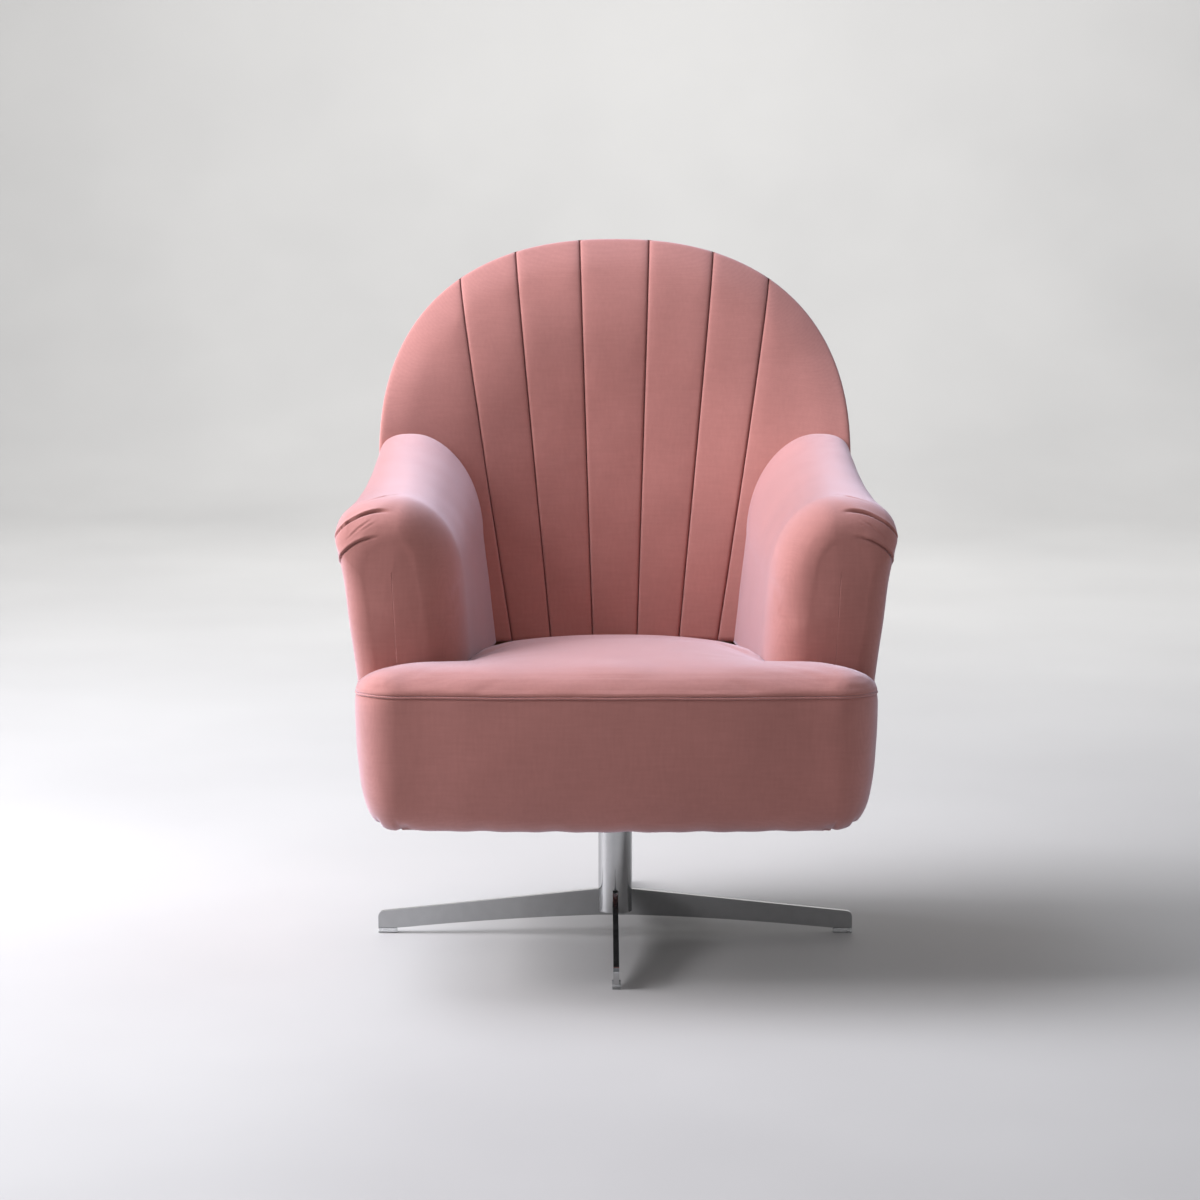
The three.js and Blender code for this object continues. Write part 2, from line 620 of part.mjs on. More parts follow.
// Section of the padded border, as [distance inside the top outline, z]: it tapers and turns under the frame.
const BORDER_SECTION = [
  [2, BOX_TOP], [0, 404], [5, 304], [12, 264], [21, 242], [32, 228], [46, BOX_BOTTOM],
  [60, BOX_BOTTOM + 0.5], [60, BOX_BOTTOM + 3.5], [48, 228], [38, 262], [26, 395], [26, BOX_TOP],
];

// The stretch of the border that lies in a block.
function borderBetween(keep) {
  const outline = boxOutline();
  const layers = BORDER_SECTION.map(([depth, z]) => inset(outline, depth).map((p) => [p.x, p.y, z]));
  const n = layers.length;
  const corner = (i, j) => new THREE.Vector3(...layers[j % n][i % outline.length]);
  const points = [];
  for (let i = 0; i < outline.length; i++) {
    for (let j = 0; j < n; j++) {
      const [a, b, c, d] = [corner(i, j), corner(i, j + 1), corner(i + 1, j + 1), corner(i + 1, j)];
      points.push(a, b, c, a, c, d);
    }
  }
  return common(new THREE.BufferGeometry().setFromPoints(points), keep);
}

const FRONT_SPLIT = -255; // where the border's pieces are sewn together
const REAR_SPLIT = 110;

const frontBorder = () => borderBetween(block([-BIG, -BIG, 0], [BIG, FRONT_SPLIT - GAP, BIG]));
const rearBorder = () => borderBetween(block([-BIG, REAR_SPLIT + GAP, 0], [BIG, BIG, BIG]));
const sideBorder = () => borderBetween(block([0, FRONT_SPLIT, 0], [BIG, REAR_SPLIT, BIG]));

// Section of the crowned seat, as [distance inside the box's outline, z]. Its foot sits inside the border.
const SEAT_SECTION = [
  [30, 386], [30, BOX_TOP + 0.4], [1.5, BOX_TOP + 1], [2, 419], [10, 427], [28, 437], [58, 448],
  [105, 457], [170, SEAT_CROWN],
];

// How far the seat's top lies below its section at a place behind the crown.
function seatFall(y, z) {
  const behind = clamp01((y - SEAT_CROWN_Y) / (FRONT_FACE_Y - SEAT_CROWN_Y));
  return SEAT_FALL * behind * clamp01((z - BOX_TOP - 4) / 40);
}

// The seat fills the box's top in front of the arms and between them.
function seatPad() {
  const outline = boxOutline();
  const layer = ([depth, z]) => inset(outline, depth)
    .map((p) => new THREE.Vector3(p.x, p.y, z - seatFall(p.y, z)));
  const side = (y) => armInner(BACK_BOTTOM, clamp01((y - ARM_FRONT) / ARM_LENGTH)) - 1;
  const rear = (x) => insideFace(x, BACK_BOTTOM) - 2;
  const half = [
    [0, -BIG], [BIG, -BIG], [BIG, ARM_FRONT - 1], ...[ARM_FRONT - 1, -150, 0, 100].map((y) => [side(y), y]),
    ...[171, 90, 0].map((x) => [x, rear(x)]),
  ];
  const other = half.slice(1, -1).reverse().map(([x, y]) => [-x, y]);
  const prism = new THREE.ExtrudeGeometry(shapeOf([...half, ...other]), { depth: BIG, bevelEnabled: false });
  return common(loft(SEAT_SECTION.map(layer), topView), prism);
}

const COVER_Z = BOX_BOTTOM + 18.2;
const COVER_THICKNESS = 1.6;
const COVER_SLOT = { halfWidth: 36, halfLength: 78 };

// Thin cloth under the box, with a slot that lets the column travel through the glide.
function dustCover() {
  const shape = new THREE.Shape(inset(boxOutline(), 50));
  const { halfWidth, halfLength } = COVER_SLOT;
  const slot = block([-halfWidth, -halfLength, 0], [halfWidth, halfLength, BIG]);
  const sheet = new THREE.ExtrudeGeometry(shape, { depth: COVER_THICKNESS, bevelEnabled: false });
  return cut(sheet.translate(0, 0, COVER_Z), slot);
}

// ---- Materials ----

const material = (color, roughness, metalness = 0) =>
  new THREE.MeshStandardMaterial({ color, roughness, metalness });
const fabric = material(0xc98b8b, 0.85);
const chrome = material(0xd8dadc, 0.12, 1);
const clearPlastic = material(0xe6e8ea, 0.2);
const nylon = material(0xe8e6df, 0.5);
const steel = material(0x3a3c3f, 0.45, 0.9);
const zinc = material(0xb4b7ba, 0.35, 0.9);
const beech = material(0xc7a06f, 0.65);
const plywood = material(0xb98d5c, 0.7);
const webbing = material(0x2b2b2d, 0.9);
const blackCloth = material(0x1b1b1d, 0.95);

// ---- Assembly ----

const chair = new THREE.Group();

function part(name, geometry, finish) {
  const mesh = new THREE.Mesh(geometry, finish);
  mesh.name = name;
  chair.add(mesh);
  return mesh;
}

function pair(name, geometry, finish) {
  part(`${name}_right`, geometry, finish);
  part(`${name}_left`, mirrored(geometry), finish);
}

part('base_blade_side', bladeSide(), chrome);
part('base_blade_front', bladeFront(), chrome);
['right', 'rear', 'left', 'front'].forEach((side, i) => {
  part(`foot_pad_${side}`, footPad(), clearPlastic).rotateZ((i * Math.PI) / 2);
});
part('column_tube', columnTube(), chrome);
part('upper_bush', upperBush(), nylon);
part('lower_bush', lowerBush(), nylon);

part('spindle', spindle(), steel);
part('retaining_washer', retainingWasher(), zinc);
part('retaining_screw', retainingScrew(), zinc);
part('top_plate', topPlate(), steel);
pair('hanger', hanger(), steel);
part('upper_rod_front', upperRod(-PIVOT_Y), zinc);
part('upper_rod_rear', upperRod(PIVOT_Y), zinc);

pair('front_link', link(-PIVOT_Y), steel);
part('lower_rod_front', lowerRod(-PIVOT_Y), zinc);
pair('rear_link', link(PIVOT_Y), steel);
part('lower_rod_rear', lowerRod(PIVOT_Y), zinc);

pair('glide_rail', glideRail(), steel);
pair('rail_bolt_front', railBolt(-1), zinc);
pair('rail_bolt_rear', railBolt(1), zinc);
part('seat_rail_front', crossRail(WOOD_FRONT), beech);
part('seat_rail_rear', crossRail(WOOD_REAR), beech);
pair('seat_rail', sideRail(), beech);
for (let i = 1; i <= STRAPS; i++) part(`webbing_strap_${i}`, webbingStrap(i), webbing);

part('seat_pad', seatPad(), fabric);
part('front_border', frontBorder(), fabric);
part('rear_border', rearBorder(), fabric);
pair('side_border', sideBorder(), fabric);
part('dust_cover', dustCover(), blackCloth);

part('back_shell', backShell(0), plywood);
const shellRoom = backShell(0.4);
const backPad = cut(frontHalf(), shellRoom);
const edges = [-SEAMS[2], -SEAMS[1], -SEAMS[0], SEAMS[0], SEAMS[1], SEAMS[2]];
for (let i = 1; i <= 5; i++) {
  part(`back_channel_${i}`, common(backPad, seamWedge(edges[i - 1], edges[i])), fabric);
}
part('back_wing_right', common(backPad, seamWedge(SEAMS[2], BIG)), fabric);
part('back_wing_left', common(backPad, seamWedge(-BIG, -SEAMS[2])), fabric);
part('outer_back_cover', cut(wholeBack(0), frontCutter(), shellRoom), fabric);

// The arms end against the back.
const backRoom = wholeBack(BACK_CLEARANCE);
for (const [name, geometry, finish] of [
  ['arm_pad', armPad(), fabric], ['arm_frame', armFrame(), plywood], ['side_cover', sideCover(), fabric],
]) {
  part(`${name}_right`, cut(geometry, backRoom), finish);
  part(`${name}_left`, cut(mirrored(geometry), backRoom), finish);
}

export default chair;
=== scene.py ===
"""Looks of an upholstered swivel glider chair, built round its CAD frame. Metres, +Z up, front at -Y."""
import json
import math

import bmesh
import bpy
import numpy as np
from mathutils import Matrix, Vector
from mathutils.kdtree import KDTree


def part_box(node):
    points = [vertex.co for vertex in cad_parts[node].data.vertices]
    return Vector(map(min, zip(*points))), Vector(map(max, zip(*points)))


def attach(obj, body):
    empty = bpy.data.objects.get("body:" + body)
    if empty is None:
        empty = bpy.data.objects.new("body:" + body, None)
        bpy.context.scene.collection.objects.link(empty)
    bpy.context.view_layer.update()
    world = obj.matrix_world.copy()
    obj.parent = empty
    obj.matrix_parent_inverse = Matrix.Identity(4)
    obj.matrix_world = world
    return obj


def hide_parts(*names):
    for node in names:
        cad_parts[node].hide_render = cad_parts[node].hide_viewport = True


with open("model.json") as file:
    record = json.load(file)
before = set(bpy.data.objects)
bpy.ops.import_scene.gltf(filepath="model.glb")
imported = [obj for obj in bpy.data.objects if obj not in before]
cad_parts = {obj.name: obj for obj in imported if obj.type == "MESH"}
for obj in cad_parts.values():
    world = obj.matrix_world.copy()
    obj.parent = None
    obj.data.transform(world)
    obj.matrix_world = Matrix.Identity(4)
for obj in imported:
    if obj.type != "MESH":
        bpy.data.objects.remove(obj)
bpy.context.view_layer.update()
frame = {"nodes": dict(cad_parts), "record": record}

MM = 0.001

# ---- Sizes taken from the frame ----

SEAT_LOW, SEAT_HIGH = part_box("seat_pad")
BORDER_LOW, BORDER_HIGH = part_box("front_border")
TUBE_LOW, TUBE_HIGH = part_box("column_tube")
COVER_LOW, COVER_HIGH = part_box("dust_cover")
BLADE_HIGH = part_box("base_blade_front")[1]

BOX_FRONT = SEAT_LOW.y
BOX_HALF_WIDTH = SEAT_HIGH.x
WELT_Z = BORDER_HIGH.z
BOX_BOTTOM = BORDER_LOW.z
BACK_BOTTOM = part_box("outer_back_cover")[0].z
ARM_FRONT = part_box("arm_pad_right")[0].y

# ---- Sizes that shape the upholstery, the same as the frame's ----

GAP = 0.3 * MM
CORNER_RADIUS = 60 * MM
ARCH_BASE = 700 * MM
ARCH_HALF_WIDTH = 355 * MM
ARCH_HEIGHT = 313 * MM
FRONT_FACE_Y = 176 * MM
REAR_FACE_Y = 406.5 * MM
BACK_LEAN = 0.24
HEAD_WRAP = 0.4
RIM_RADIUS = 48 * MM
SHOULDER_REACH = 150 * MM
SHOULDER_FALL = 42 * MM
SEAMS = [-157 * MM, -98 * MM, -34 * MM, 34 * MM, 98 * MM, 157 * MM]
SEAM_BASE = 430 * MM
ARM_FRONT_CREST = 668 * MM
ARM_REAR_CREST = 735 * MM
ARM_LENGTH = 400 * MM
ARM_MIDDLE = 302 * MM
COVER_DEPTH = 6 * MM
PANEL_BELOW = 78 * MM
FRONT_SPLIT = -255 * MM
REAR_SPLIT = 110 * MM


def mix(a, b, t):
    return a + (b - a) * t


def clamp01(t):
    return np.clip(t, 0.0, 1.0)


def smooth(low, high, value):
    t = clamp01((value - low) / (high - low))
    return t * t * (3 - 2 * t)


# ---- Mesh helpers ----

def new_mesh(name, points, faces):
    mesh = bpy.data.meshes.new(name)
    mesh.from_pydata([tuple(p) for p in points], [], [tuple(f) for f in faces])
    return mesh


def place_object(name, data):
    """A new object in the scene, showing the data."""
    placed = bpy.data.objects.new(name, data)
    bpy.context.scene.collection.objects.link(placed)
    return placed


def make_piece(name, points, faces, material, body="seat", marks=None):
    """A shown piece riding a body. marks, one value per point, is 1 where shade is painted along a seam or
    crease and 0 off it.
    """
    mesh = new_mesh(name, points, faces)
    if marks is not None:
        # The marks are stored as the painted shade that the cloth's material darkens by.
        layer = mesh.attributes.new("painted_shade", "FLOAT", "POINT")
        layer.data.foreach_set("value", np.asarray(marks, dtype=np.float32))
    mesh.validate()
    mesh.update()
    piece = place_object(name, mesh)
    mesh.materials.append(material)
    mesh.shade_smooth()
    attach(piece, body)
    return piece


def apply_modifiers(piece):
    graph = bpy.context.evaluated_depsgraph_get()
    mesh = bpy.data.meshes.new_from_object(piece.evaluated_get(graph))
    piece.modifiers.clear()
    piece.data = mesh


def vertex_array(mesh):
    flat = np.empty(len(mesh.vertices) * 3)
    mesh.vertices.foreach_get("co", flat)
    return flat.reshape(-1, 3)


def grid_faces(rows, columns, wrap=False):
    """Quads of a grid of points stored row by row. wrap joins each row's end to its start."""
    faces = []
    last = columns if wrap else columns - 1
    for i in range(rows - 1):
        for j in range(last):
            a, b = i * columns + j, i * columns + (j + 1) % columns
            faces.append((a, b, b + columns, a + columns))
    return faces


def hoop_faces(rows, columns):
    """Quads of a grid of points that closes on itself both ways."""
    faces = []
    for i in range(rows):
        for j in range(columns):
            k, n = (i + 1) % rows, (j + 1) % columns
            faces.append((i * columns + j, i * columns + n, k * columns + n, k * columns + j))
    return faces


def outward(points, faces):
    """The faces, turned so that the closed solid they bound has its normals pointing out."""
    points = np.asarray(points)
    volume = 0.0
    for face in faces:
        p = points[list(face)]
        for k in range(1, len(face) - 1):
            volume += np.dot(p[0], np.cross(p[k], p[k + 1]))
    return faces if volume > 0 else [tuple(reversed(f)) for f in faces]


def two_skins(outer, inner, skin, rim):
    """A closed solid of two skins joined round their rim. skin and rim index the outer grid's points."""
    count = outer.shape[0] * outer.shape[1]
    points = np.concatenate([outer.reshape(-1, 3), inner.reshape(-1, 3)])
    faces = skin + [tuple(reversed([k + count for k in f])) for f in skin]
    faces += [(b, a, a + count, b + count) for a, b in zip(rim, rim[1:] + rim[:1])]
    return points, outward(points, faces)


def slab(outer, inner):
    """Points and faces of a closed solid between two grids of the same shape."""
    rows, columns = outer.shape[:2]
    rim = list(range(columns)) + [i * columns + columns - 1 for i in range(1, rows)]
    rim += [(rows - 1) * columns + j for j in range(columns - 2, -1, -1)]
    rim += [i * columns for i in range(rows - 2, 0, -1)]
    return two_skins(outer, inner, grid_faces(rows, columns), rim)


def tube_solid(loops):
    """Points and faces of a closed solid through closed loops of points, with a flat fan over each end."""
    rows, columns = loops.shape[:2]
    points = list(loops.reshape(-1, 3))
    faces = grid_faces(rows, columns, wrap=True)
    for row in (0, rows - 1):
        points.append(loops[row].mean(axis=0))
        middle = len(points) - 1
        for j in range(columns):
            a, b = row * columns + j, row * columns + (j + 1) % columns
            faces.append((middle, b, a) if row == 0 else (middle, a, b))
    return points, outward(points, faces)


def grid_normals(grid):
    """Unit normals of a grid of points, from its neighbours."""
    du = np.gradient(grid, axis=1)
    dv = np.gradient(grid, axis=0)
    normal = np.cross(du, dv)
    length = np.linalg.norm(normal, axis=2, keepdims=True)
    return normal / np.maximum(length, 1e-12)


def ripple(x, y, z, size, seed=0.0):
    """A gentle unevenness from -1 to 1 that repeats nowhere near the chair's size."""
    k = 2 * math.pi / size
    a = np.sin(k * (x * 0.83 + z * 0.61) + 1.3 + seed) * np.sin(k * (y * 0.71 - z * 0.53) + 0.4)
    b = np.sin(k * 1.7 * (z * 0.77 - x * 0.45) + 2.1 * seed) * np.sin(k * 1.3 * (x * 0.31 + y * 0.9) + 2.7)
    return 0.5 * (a + b)


def spline(points, steps):
    """A smooth curve through the points, with that many steps between each two."""
    p = np.asarray(points, float)
    ends = np.vstack([2 * p[0] - p[1], p, 2 * p[-1] - p[-2]])
    curve = []
    for i in range(1, len(ends) - 2):
        for s in range(steps):
            t = s / steps
            a, b, c, d = ends[i - 1], ends[i], ends[i + 1], ends[i + 2]
            curve.append(0.5 * (2 * b + (c - a) * t + (2 * a - 5 * b + 4 * c - d) * t ** 2
                                + (3 * b - a - 3 * c + d) * t ** 3))
    curve.append(p[-1])
    return np.array(curve)


# ---- Cloth simulation of the padding ----

CLOTH_FRAMES = 20
BROAD_POINTS = 900  # simulated points that carry the broad swelling
BROAD_REACH = 30 * MM


def simulate(points, faces, pinned, voxel):
    """Blow up a voxel copy of a piece as cloth. Returns its points at rest and their moves."""
    draft = place_object("draft", new_mesh("draft", points, faces))
    remesh = draft.modifiers.new("remesh", "REMESH")
    remesh.mode = "VOXEL"
    remesh.voxel_size = voxel
    apply_modifiers(draft)
    rest = vertex_array(draft.data)
    group = draft.vertex_groups.new(name="pinned")
    group.add([int(i) for i in np.flatnonzero(pinned(rest))], 1.0, "REPLACE")
    cloth = draft.modifiers.new("cloth", "CLOTH")
    settings = cloth.settings
    settings.quality = 5
    settings.mass = 0.25
    settings.tension_stiffness = settings.compression_stiffness = 18
    settings.shear_stiffness = 8
    settings.bending_stiffness = 0.4
    settings.use_pressure = True
    settings.uniform_pressure_force = 4
    settings.effector_weights.gravity = 0
    settings.vertex_group_mass = "pinned"
    cloth.point_cache.frame_start, cloth.point_cache.frame_end = 1, CLOTH_FRAMES
    for frame_number in range(1, CLOTH_FRAMES + 1):
        bpy.context.scene.frame_set(frame_number)
    graph = bpy.context.evaluated_depsgraph_get()
    moved = vertex_array(draft.evaluated_get(graph).data)
    bpy.context.scene.frame_set(1)
    bpy.data.objects.remove(draft)
    return rest, moved - rest


def carried(rest, moves, points, reach, count):
    """The moves of the nearest simulated points, averaged at each of the given points."""
    tree = KDTree(len(rest))
    for i, p in enumerate(rest):
        tree.insert(p, i)
    tree.balance()
    result = np.zeros((len(points), 3))
    for i, p in enumerate(points):
        found = tree.find_n(p, count)
        weights = np.array([math.exp(-(d / reach) ** 2) for _, _, d in found]) + 1e-9
        result[i] = weights @ moves[[j for _, j, _ in found]] / weights.sum()
    return result


def settle(shape, pinned, cap, puff=0.3, crease=1.0, voxel=6 * MM):
    """The piece with the shares puff of its simulated swelling and crease of the creases in it."""
    points, faces = np.asarray(shape[0]), shape[1]
    rest, moves = simulate(points, faces, pinned, voxel)
    length = np.linalg.norm(moves, axis=1, keepdims=True)
    moves = moves * np.minimum(1, cap / np.maximum(length, 1e-9))
    pick = np.arange(0, len(rest), max(1, len(rest) // BROAD_POINTS))
    broad = carried(rest[pick], moves[pick], rest, BROAD_REACH, 12)
    moves = puff * broad + crease * (moves - broad)
    moves[pinned(rest)] = 0
    return points + carried(rest, moves, points, voxel, 6), faces


# ---- Surfaces of the back ----

def back_half_width(z):
    z = np.asarray(z, float)
    up = clamp01((z - ARCH_BASE) / ARCH_HEIGHT)
    arch = ARCH_HALF_WIDTH * np.maximum(0, 1 - up ** 2.4) ** (1 / 2.3)
    return np.where(z < ARCH_BASE, ARCH_HALF_WIDTH - (ARCH_BASE - z) * 0.035, arch)


def back_top(x):
    out = np.abs(x) / ARCH_HALF_WIDTH
    return ARCH_BASE + ARCH_HEIGHT * np.maximum(0, 1 - out ** 2.3) ** (1 / 2.4)


def bow(x, depth, radius):
    return depth * (1 - np.sqrt(np.maximum(0, 1 - (x / radius) ** 2)))


def wrap_at(z):
    """The back wraps round the sitter between the arms and flattens above them."""
    return mix(1, HEAD_WRAP, smooth(0.62, 0.95, z))


def inside_face(x, z):
    return FRONT_FACE_Y + BACK_LEAN * (z - 0.42) - wrap_at(z) * bow(x, 0.2, 0.37)


def rear_face(x, z):
    lean = 0.105 * (np.maximum(0, 1.0 - z) / 0.59) ** 1.6
    return REAR_FACE_Y - lean - wrap_at(z) * bow(x, 0.3, 0.42)


def middle_face(x, z):
    return (inside_face(x, z) + rear_face(x, z)) / 2


def rim_inset(x, z, radius=RIM_RADIUS):
    """Distance inside the back's outline, in rim radii, up to 1."""
    across = np.maximum(0, back_half_width(z) - np.abs(x))
    up = np.maximum(0, back_top(x) - z)
    distance = across * up / np.maximum(np.hypot(across, up), 1e-9)
    return np.minimum(1, distance / radius)


def rim_share(x, z):
    return np.sqrt(np.maximum(0, 1 - (1 - rim_inset(x, z)) ** 2))


def front_skin(x, z):
    """The front of the padding: a tight rolled rim with a broad soft shoulder inside it."""
    middle, inside = middle_face(x, z), inside_face(x, z)
    shoulder = (1 - rim_inset(x, z, SHOULDER_REACH)) ** 2
    fall = np.minimum(SHOULDER_FALL, 0.75 * (middle - inside)) * shoulder
    return mix(middle, inside + fall, rim_share(x, z))


def rear_skin(x, z):
    return mix(middle_face(x, z), rear_face(x, z), rim_share(x, z))


def seam_x(seam, z):
    return seam * (1 + (z - SEAM_BASE))


# ---- Materials ----

class Graph:
    """Short calls for adding nodes to a material or a world."""

    def __init__(self, owner):
        self.tree = owner.node_tree

    def node(self, kind, inputs=(), **settings):
        node = self.tree.nodes.new("ShaderNode" + kind)
        for key, value in settings.items():
            setattr(node, key, value)
        for key, value in dict(inputs).items():
            if isinstance(value, bpy.types.NodeSocket):
                self.tree.links.new(value, node.inputs[key])
            else:
                node.inputs[key].default_value = value
        return node

    def math(self, operation, a, b=0.0):
        return self.node("Math", {0: a, 1: b}, operation=operation).outputs[0]

    def place(self):
        return self.node("TexCoord").outputs["Object"]

    def noise(self, scale, detail=2.0, stretch=(1, 1, 1)):
        mapping = self.node("Mapping", {"Vector": self.place(), "Scale": stretch})
        texture = self.node("TexNoise", {"Vector": mapping.outputs[0], "Scale": scale, "Detail": detail})
        return texture.outputs[0]

    def ramp(self, value, low, high, low_at=0.3, high_at=0.7):
        ramp = self.node("ValToRGB", {0: value})
        ramp.color_ramp.elements[0].position = low_at
        ramp.color_ramp.elements[0].color = (*low, 1)
        ramp.color_ramp.elements[1].position = high_at
        ramp.color_ramp.elements[1].color = (*high, 1)
        return ramp.outputs[0]

    def span(self, value, low, high):
        return self.node("MapRange", {0: value, 1: 0.25, 2: 0.75, 3: low, 4: high}).outputs[0]

    def mix_color(self, factor, a, b, blend="MIX"):
        return self.node("Mix", {0: factor, 6: a, 7: b}, data_type="RGBA", blend_type=blend).outputs[2]

    def bump(self, height, distance, strength=1.0, normal=None):
        inputs = {"Height": height, "Distance": distance, "Strength": strength}
        if normal is not None:
            inputs["Normal"] = normal
        return self.node("Bump", inputs).outputs[0]

    def feed(self, shader, **sockets):
        """Link each value to the shader's input of that name, written with _ for a space."""
        for name, value in sockets.items():
            self.tree.links.new(value, shader.inputs[name.replace("_", " ")])


def new_material(name):
    """A material, its shader and the calls that add nodes to it."""
    material = bpy.data.materials.new(name)
    material.use_nodes = True
    material.node_tree.nodes.clear()
    g = Graph(material)
    shader = g.node("BsdfPrincipled")
    g.node("OutputMaterial", {0: shader.outputs[0]})
    return material, shader, g


WEAVE_PITCH = 1.7 * MM


def weave_height(g):
    """Height of a plain weave, laid on whichever of the three main planes the surface faces."""
    split = g.node("SeparateXYZ", {0: g.place()})
    facing = g.node("SeparateXYZ", {0: g.node("NewGeometry").outputs["True Normal"]})
    turns = [g.math("MULTIPLY", split.outputs[axis], 2 * math.pi / WEAVE_PITCH) for axis in range(3)]
    waves = [g.math("SINE", turn) for turn in turns]
    total = None
    for axis in range(3):
        a, b = waves[(axis + 1) % 3], waves[(axis + 2) % 3]
        share = g.math("POWER", g.math("ABSOLUTE", facing.outputs[axis]), 2.0)
        layer = g.math("MULTIPLY", g.math("MULTIPLY", a, b), share)
        total = layer if total is None else g.math("ADD", total, layer)
    return total


def upholstery(name, base, dark, light):
    """Plain-woven cloth: crossed threads, slubs along both thread directions, soft sheen, and painted shade
    along seams and fold creases.
    """
    material, shader, g = new_material(name)
    weave = weave_height(g)
    slub_up = g.noise(240.0, 2.0, (1, 1, 0.12))
    slub_across = g.noise(240.0, 2.0, (0.12, 0.12, 1))
    slubs = g.math("MULTIPLY", g.math("ADD", slub_up, slub_across), 0.5)
    patches = g.noise(9.0, 3.0)
    tone = g.mix_color(g.span(slubs, 0.0, 1.0), (*dark, 1), (*light, 1))
    tone = g.mix_color(0.4, (*base, 1), tone)
    lift = g.mix_color(g.span(patches, 0.0, 1.0), (0.94, 0.94, 0.94, 1), (1.05, 1.05, 1.05, 1))
    tone = g.mix_color(1.0, tone, lift, "MULTIPLY")
    threads = g.mix_color(g.span(weave, 0.0, 1.0), (0.9, 0.9, 0.9, 1), (1.06, 1.06, 1.06, 1))
    tone = g.mix_color(1.0, tone, threads, "MULTIPLY")
    # Painted shade: a per-point mark darkens the colour towards near black along seams and fold creases,
    # where the grooves are shaded, and takes the sheen off there.
    painted_shade = g.node("Attribute", attribute_name="painted_shade").outputs["Fac"]
    tone = g.mix_color(g.math("MULTIPLY", painted_shade, 0.42), tone, (0.07, 0.018, 0.016, 1))
    sheen = g.math("MULTIPLY", g.math("SUBTRACT", 1.0, painted_shade), 0.75)
    thread_bump = g.bump(weave, 0.12 * MM, 0.6)
    g.feed(shader, Base_Color=tone, Roughness=g.span(slubs, 0.78, 0.92), Sheen_Weight=sheen,
           Normal=g.bump(slubs, 0.2 * MM, 0.35, thread_bump))
    shader.inputs["Sheen Roughness"].default_value = 0.5
    shader.inputs["Sheen Tint"].default_value = (0.88, 0.84, 1.0, 1)
    shader.inputs["Specular IOR Level"].default_value = 0.25
    return material


def metal(name, color, roughness, scratch=0.03, stretch=(1, 1, 1), scale=60.0):
    """Metal whose roughness varies with faint handling marks."""
    material, shader, g = new_material(name)
    marks = g.noise(scale, 4.0, stretch)
    fine = g.noise(scale * 9, 2.0, stretch)
    g.feed(shader, Base_Color=g.ramp(marks, [c * 0.94 for c in color], color),
           Roughness=g.span(marks, roughness, roughness + scratch), Normal=g.bump(fine, 0.01 * MM, 0.25))
    shader.inputs["Metallic"].default_value = 1.0
    return material


def powder_coat(name, color):
    material, shader, g = new_material(name)
    grain = g.noise(900.0, 2.0)
    wear = g.noise(40.0, 5.0)
    g.feed(shader, Base_Color=g.ramp(wear, color, [c * 1.6 for c in color], 0.45, 0.8),
           Roughness=g.span(wear, 0.42, 0.6), Normal=g.bump(grain, 0.05 * MM, 0.5))
    shader.inputs["Specular IOR Level"].default_value = 0.5
    return material


def wood(name, dark, light, along, ring=14.0):
    """Wood with grain along one axis."""
    material, shader, g = new_material(name)
    stretch = [1.0, 1.0, 1.0]
    stretch["xyz".index(along)] = 0.06
    figure = g.noise(ring, 6.0, stretch)
    pores = g.noise(420.0, 2.0, stretch)
    tone = g.ramp(figure, dark, light, 0.35, 0.65)
    tone = g.mix_color(g.span(pores, 0.0, 0.35), tone, (*[c * 0.6 for c in dark], 1))
    g.feed(shader, Base_Color=tone, Roughness=g.span(figure, 0.5, 0.68), Normal=g.bump(pores, 0.1 * MM, 0.5))
    return material


def clear_plastic(name):
    material, shader, g = new_material(name)
    haze = g.noise(120.0, 3.0)
    g.feed(shader, Base_Color=g.ramp(haze, (0.82, 0.85, 0.86), (0.93, 0.94, 0.95)),
           Roughness=g.span(haze, 0.12, 0.3), Normal=g.bump(haze, 0.05 * MM, 0.3))
    shader.inputs["Transmission Weight"].default_value = 0.75
    shader.inputs["IOR"].default_value = 1.49
    return material


def moulded_nylon(name):
    material, shader, g = new_material(name)
    cloud = g.noise(60.0, 3.0)
    g.feed(shader, Base_Color=g.ramp(cloud, (0.72, 0.69, 0.6), (0.84, 0.82, 0.76)),
           Roughness=g.span(cloud, 0.4, 0.55), Normal=g.bump(g.noise(700.0), 0.04 * MM, 0.4))
    return material


def black_cloth(name, color, pitch, stretch):
    """Dark woven or felted cloth with visible ribs."""
    material, shader, g = new_material(name)
    fibres = g.noise(pitch, 3.0, stretch)
    lint = g.noise(35.0, 4.0)
    g.feed(shader, Base_Color=g.ramp(fibres, color, [c * 2.2 + 0.01 for c in color]),
           Roughness=g.span(lint, 0.82, 0.96), Normal=g.bump(fibres, 0.3 * MM, 0.6))
    shader.inputs["Sheen Weight"].default_value = 0.3
    return material


